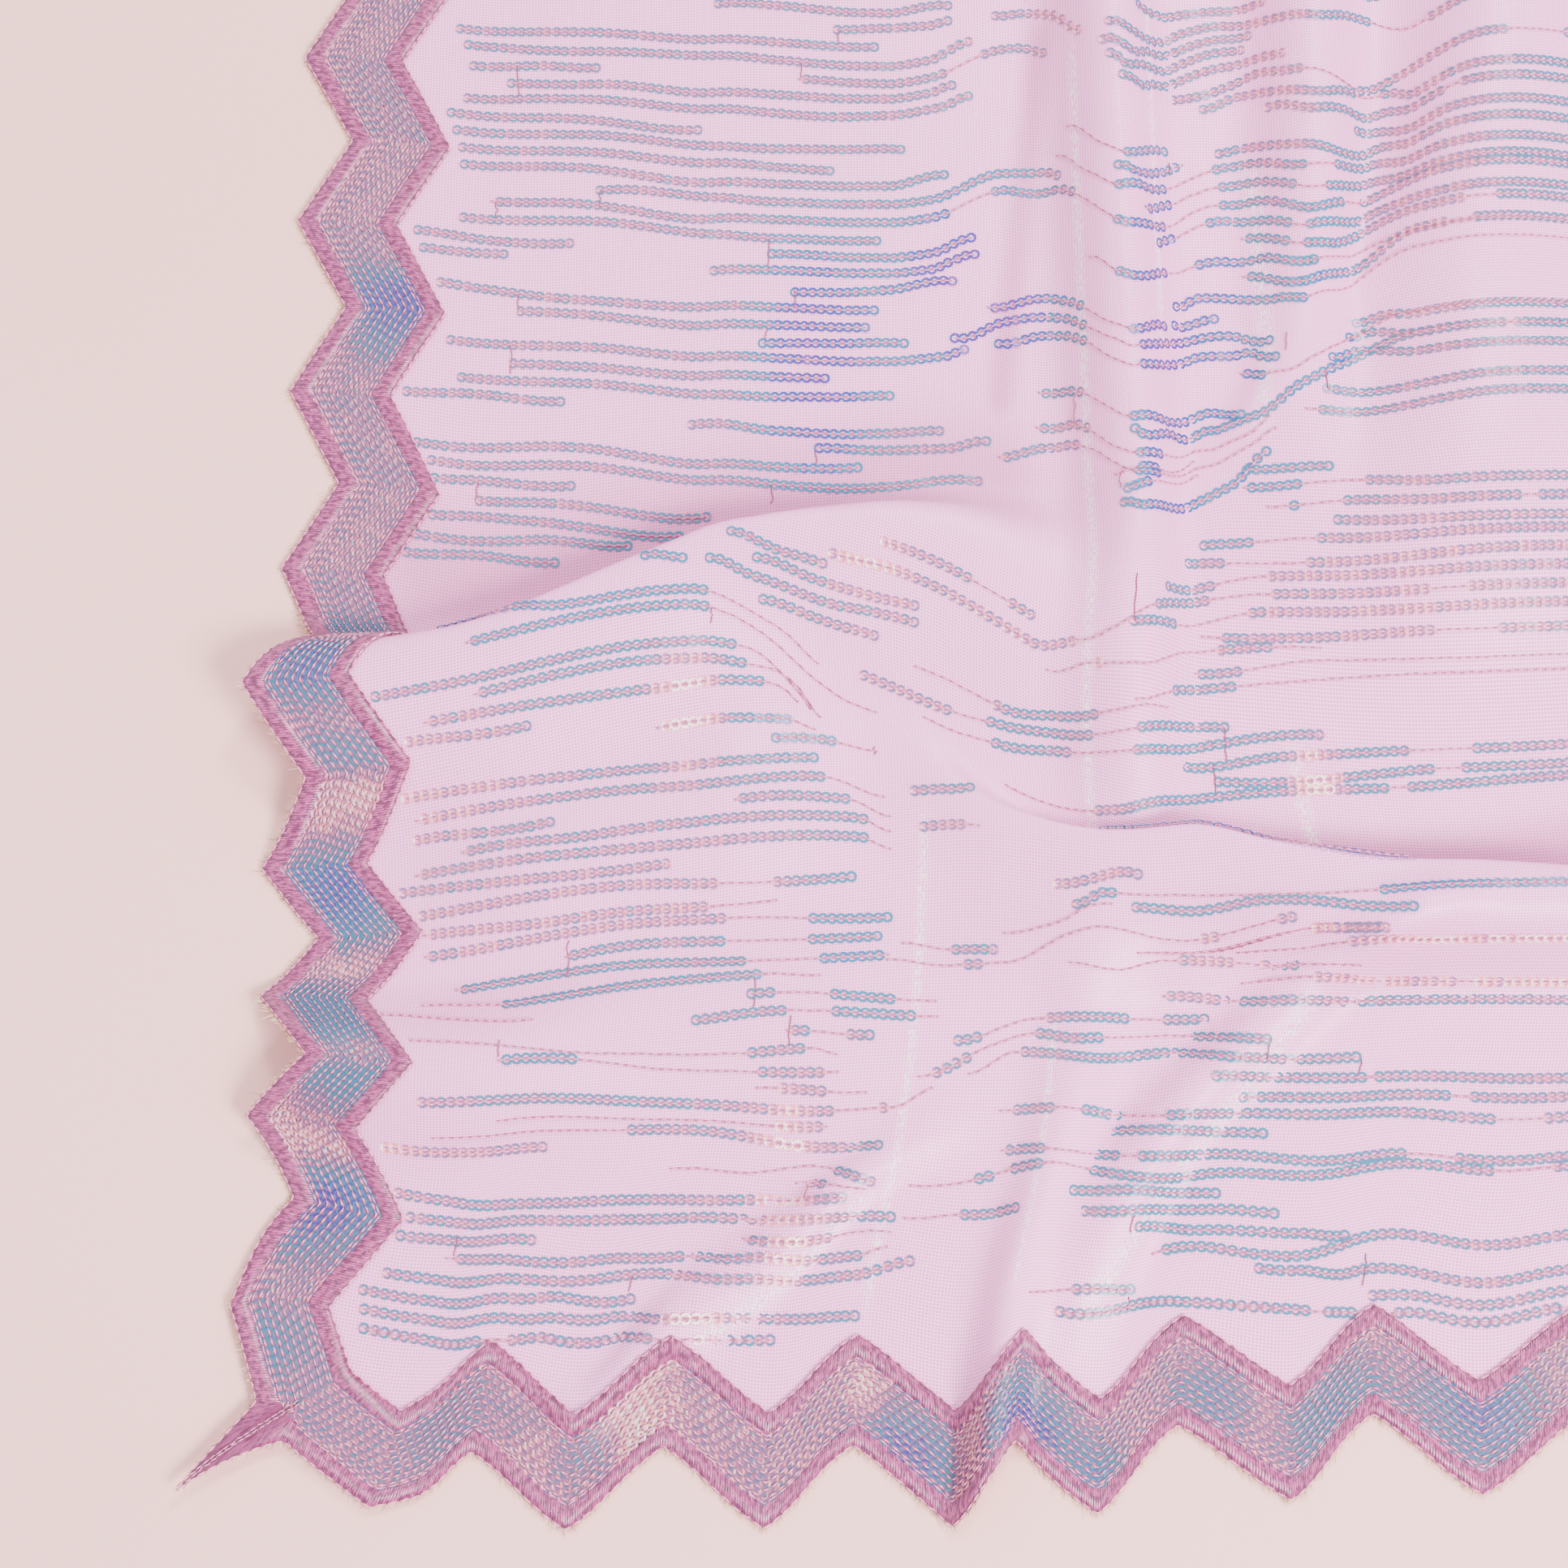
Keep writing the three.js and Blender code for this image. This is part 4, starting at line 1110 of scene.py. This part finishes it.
def add_field(rows):
    """Rings and chain thread of every row, and the threads that step between rows."""
    rings, threads = [], []
    for row in rows:
        spots = np.arange(row.start, row.end, SEQUIN_PITCH)
        across = row.across(spots)
        is_clear = (across > notch(spots) + BAND + 2.2) & (spots > notch(across) + BAND + 0.8)
        spots, across = spots[is_clear], across[is_clear]
        if len(spots) < 3:
            continue
        slope = row.across(spots + 1) - across
        is_ringed = np.zeros(len(spots), bool)
        for start, end in row.ringed:
            is_ringed |= (spots > start - 1) & (spots < end + 1)
        count = is_ringed.sum()
        jitter = rng.normal(0, 0.1, count)
        rings.append(np.column_stack([spots[is_ringed] + jitter, across[is_ringed],
                                      np.ones(count), slope[is_ringed],
                                      np.full(count, FIELD_RING_HEIGHT)]))
        fine = np.linspace(spots[0], spots[-1], 2 * len(spots) - 1)
        is_middle = np.arange(len(fine)) % 2 == 0
        is_sewn_on = np.interp(fine, spots, is_ringed) > 0.5
        radius = np.where(is_middle, 0.3, np.where(is_sewn_on, 0.4, 0.3))
        colour = np.where(is_middle[:, None], CHAIN_ROSE, CHAIN_PALE)
        wander = row.across(fine) + rng.normal(0, 0.07, len(fine))
        threads.append(line(fine, wander, FIELD_CHAIN_HEIGHT, radius, colour))
    for along, start, end in STEPS:
        spots = along + rng.normal(0, 0.25, 7)
        threads.append(line(spots, np.linspace(start, end, 7), STEP_HEIGHT, 0.2, CHAIN_ROSE))
    half = len(rings) // 2
    for name, part in (("field_sequins_upper", rings[:half]), ("field_sequins_lower", rings[half:])):
        points, faces, tint = sequins(part, FIELD_TURN, FIELD_ZONES, FILM_IN_FIELD)
        piece(name, points, faces, SEQUIN_FILM, tint=tint)
    points, faces, tint = tubes(threads)
    piece("field_chain_threads", points, faces, CHAIN_THREAD, tint=tint)


# ---------------------------------------------------------------- stitches of the borders
def chevron_line(border, depth, spacing, trim=0.0):
    """Places along a line at one depth into a border, evenly spaced along the zigzag."""
    start = float(mitre(depth)) + trim
    run = np.arange(start, border.shown, spacing / CHEVRON_STRETCH)
    along, across = border.to_cut(run, notch(run) + depth)
    rising = np.mod(run / PITCH, 1) < 0.5
    slope = np.where(rising, 1, -1) * NOTCH / HALF_PITCH
    way = np.stack(border.to_cut(np.ones_like(run), slope), -1)
    return run, along, across, way


BORDER_ROWS = SATIN + 1.2 + BORDER_ROW_PITCH * np.arange(8)


def add_border_stitches():
    """Rings and chain thread between the bands, stitches along them and the corner's seam."""
    rings, threads, edges = [], [], []
    for border in (PALLU, HEM):
        for k, depth in enumerate(BORDER_ROWS):
            _, along, across, way = chevron_line(border, depth, SEQUIN_PITCH, 1.5)
            height = np.full(len(along), 1.25 + 0.08 * (k % 2))
            is_clear = along + across > SPIKE_CLEAR
            rings.append(np.column_stack([along, across, way, height])[is_clear])
            _, fine, fine_across, _ = chevron_line(border, depth, SEQUIN_PITCH / 2, 0.5)
            is_middle = np.arange(len(fine)) % 2 == 0
            fine_across = fine_across + rng.normal(0, 0.16, len(fine))
            swell = rng.uniform(0.75, 1.2, len(fine))
            radius = np.where(is_middle, 0.25, 0.4 * swell)
            colour = np.where(is_middle[:, None], CHAIN_DARK, CHAIN_PALE)
            whole = line(fine, fine_across, 1.4, radius, colour)
            threads.append(whole[fine + fine_across > SPIKE_CLEAR])
        for depth, height in ((0.1, 1.0), (SATIN + 0.1, 1.15), (BAND - SATIN - 0.1, 1.15),
                              (BAND - 0.1, 1.0)):
            _, fine, fine_across, _ = chevron_line(border, depth, 1.15)
            is_dark = np.arange(len(fine)) % 3 == 0
            colour = np.where(is_dark[:, None], CHAIN_DARK, CHAIN_PALE)
            fine_across = fine_across + rng.normal(0, 0.1, len(fine))
            radius = np.where(is_dark, 0.22, 0.32 * rng.uniform(0.8, 1.15, len(fine)))
            edges.append(line(fine, fine_across, height, radius, colour))
    seam = np.arange(2.5, 31, 0.55)
    is_dark = np.arange(len(seam)) % 3 == 0
    colour = np.where(is_dark[:, None], CHAIN_DARK, CHAIN_PALE)
    for aside in (-0.4, 0.4):
        shift = aside + rng.normal(0, 0.12, len(seam))
        edges.append(line(seam + shift, seam - shift, 1.9, 0.21, colour))
    points, faces, tint = sequins(rings, BORDER_TURN, BORDER_ZONES, FILM_IN_BORDER)
    piece("border_sequins", points, faces, SEQUIN_FILM, tint=tint)
    for name, part in (("border_chain_threads", threads), ("running_stitches", edges)):
        points, faces, tint = tubes(part)
        piece(name, points, faces, CHAIN_THREAD, tint=tint)


FRINGE_COLOURS = [rgba(226, 190, 140), rgba(255, 232, 200), rgba(150, 100, 62),
                  rgba(226, 166, 140)]


def add_fringe():
    """Cut ends of net outside the outer satin bands."""
    strands = []
    for border in (PALLU, HEM):
        run, _, _, _ = chevron_line(border, 0.0, 0.42)
        run = run + rng.uniform(-0.25, 0.25, len(run))
        reach = rng.gamma(3.0, 0.42, len(run)) + 0.4
        lean = rng.normal(0, 0.7, len(run))
        colour = rng.choice(len(FRINGE_COLOURS), len(run), p=(0.4, 0.2, 0.28, 0.12))
        for t, out, sway, c in zip(run, reach, lean, colour):
            steps = np.linspace(0, 1, 3)
            place = t + sway * steps ** 2
            depth = notch(t) + 0.3 - out * steps
            along, across = border.to_cut(place, depth)
            strands.append(line(along, across, 0.1 + 0.3 * steps * (1 - steps),
                                0.13 * (1 - 0.6 * steps), FRINGE_COLOURS[c]))
    points, faces, tint = tubes(strands)
    piece("net_fringe", points, faces, NET_FRINGE, tint=tint)


# ---------------------------------------------------------------- the floor
def add_floor():
    mesh = bpy.data.meshes.new("floor")
    reach = 9.0
    mesh.from_pydata([(-reach, -reach, 0), (reach, -reach, 0), (reach, reach, 0),
                      (-reach, reach, 0)], [], [(0, 1, 2, 3)])
    mat, g, shader = material("pale_floor", Roughness=0.75)
    place = g.node("ShaderNodeTexCoord").outputs["Object"]
    soft = g.noise(place, 3.0, 4.0)
    g.put(shader.inputs["Base Color"], g.mix(soft, *FLOOR_PALES))
    mesh.materials.append(mat)
    floor = bpy.data.objects.new("floor", mesh)
    floor.location.z = -0.0002
    bpy.context.scene.collection.objects.link(floor)


def set_surroundings():
    """Even light from all round."""
    world = bpy.data.worlds.new("soft_room")
    world.use_nodes = True
    back = world.node_tree.nodes["Background"]
    back.inputs["Color"].default_value = (*linear(244, 238, 240), 1)
    back.inputs["Strength"].default_value = 1.35
    bpy.context.scene.world = world


net = add_net()
grounds = add_border_grounds()
bands = add_satin_bands()
add_field(table_rows() + further_rows())
add_border_stitches()
add_fringe()
add_floor()
set_surroundings()
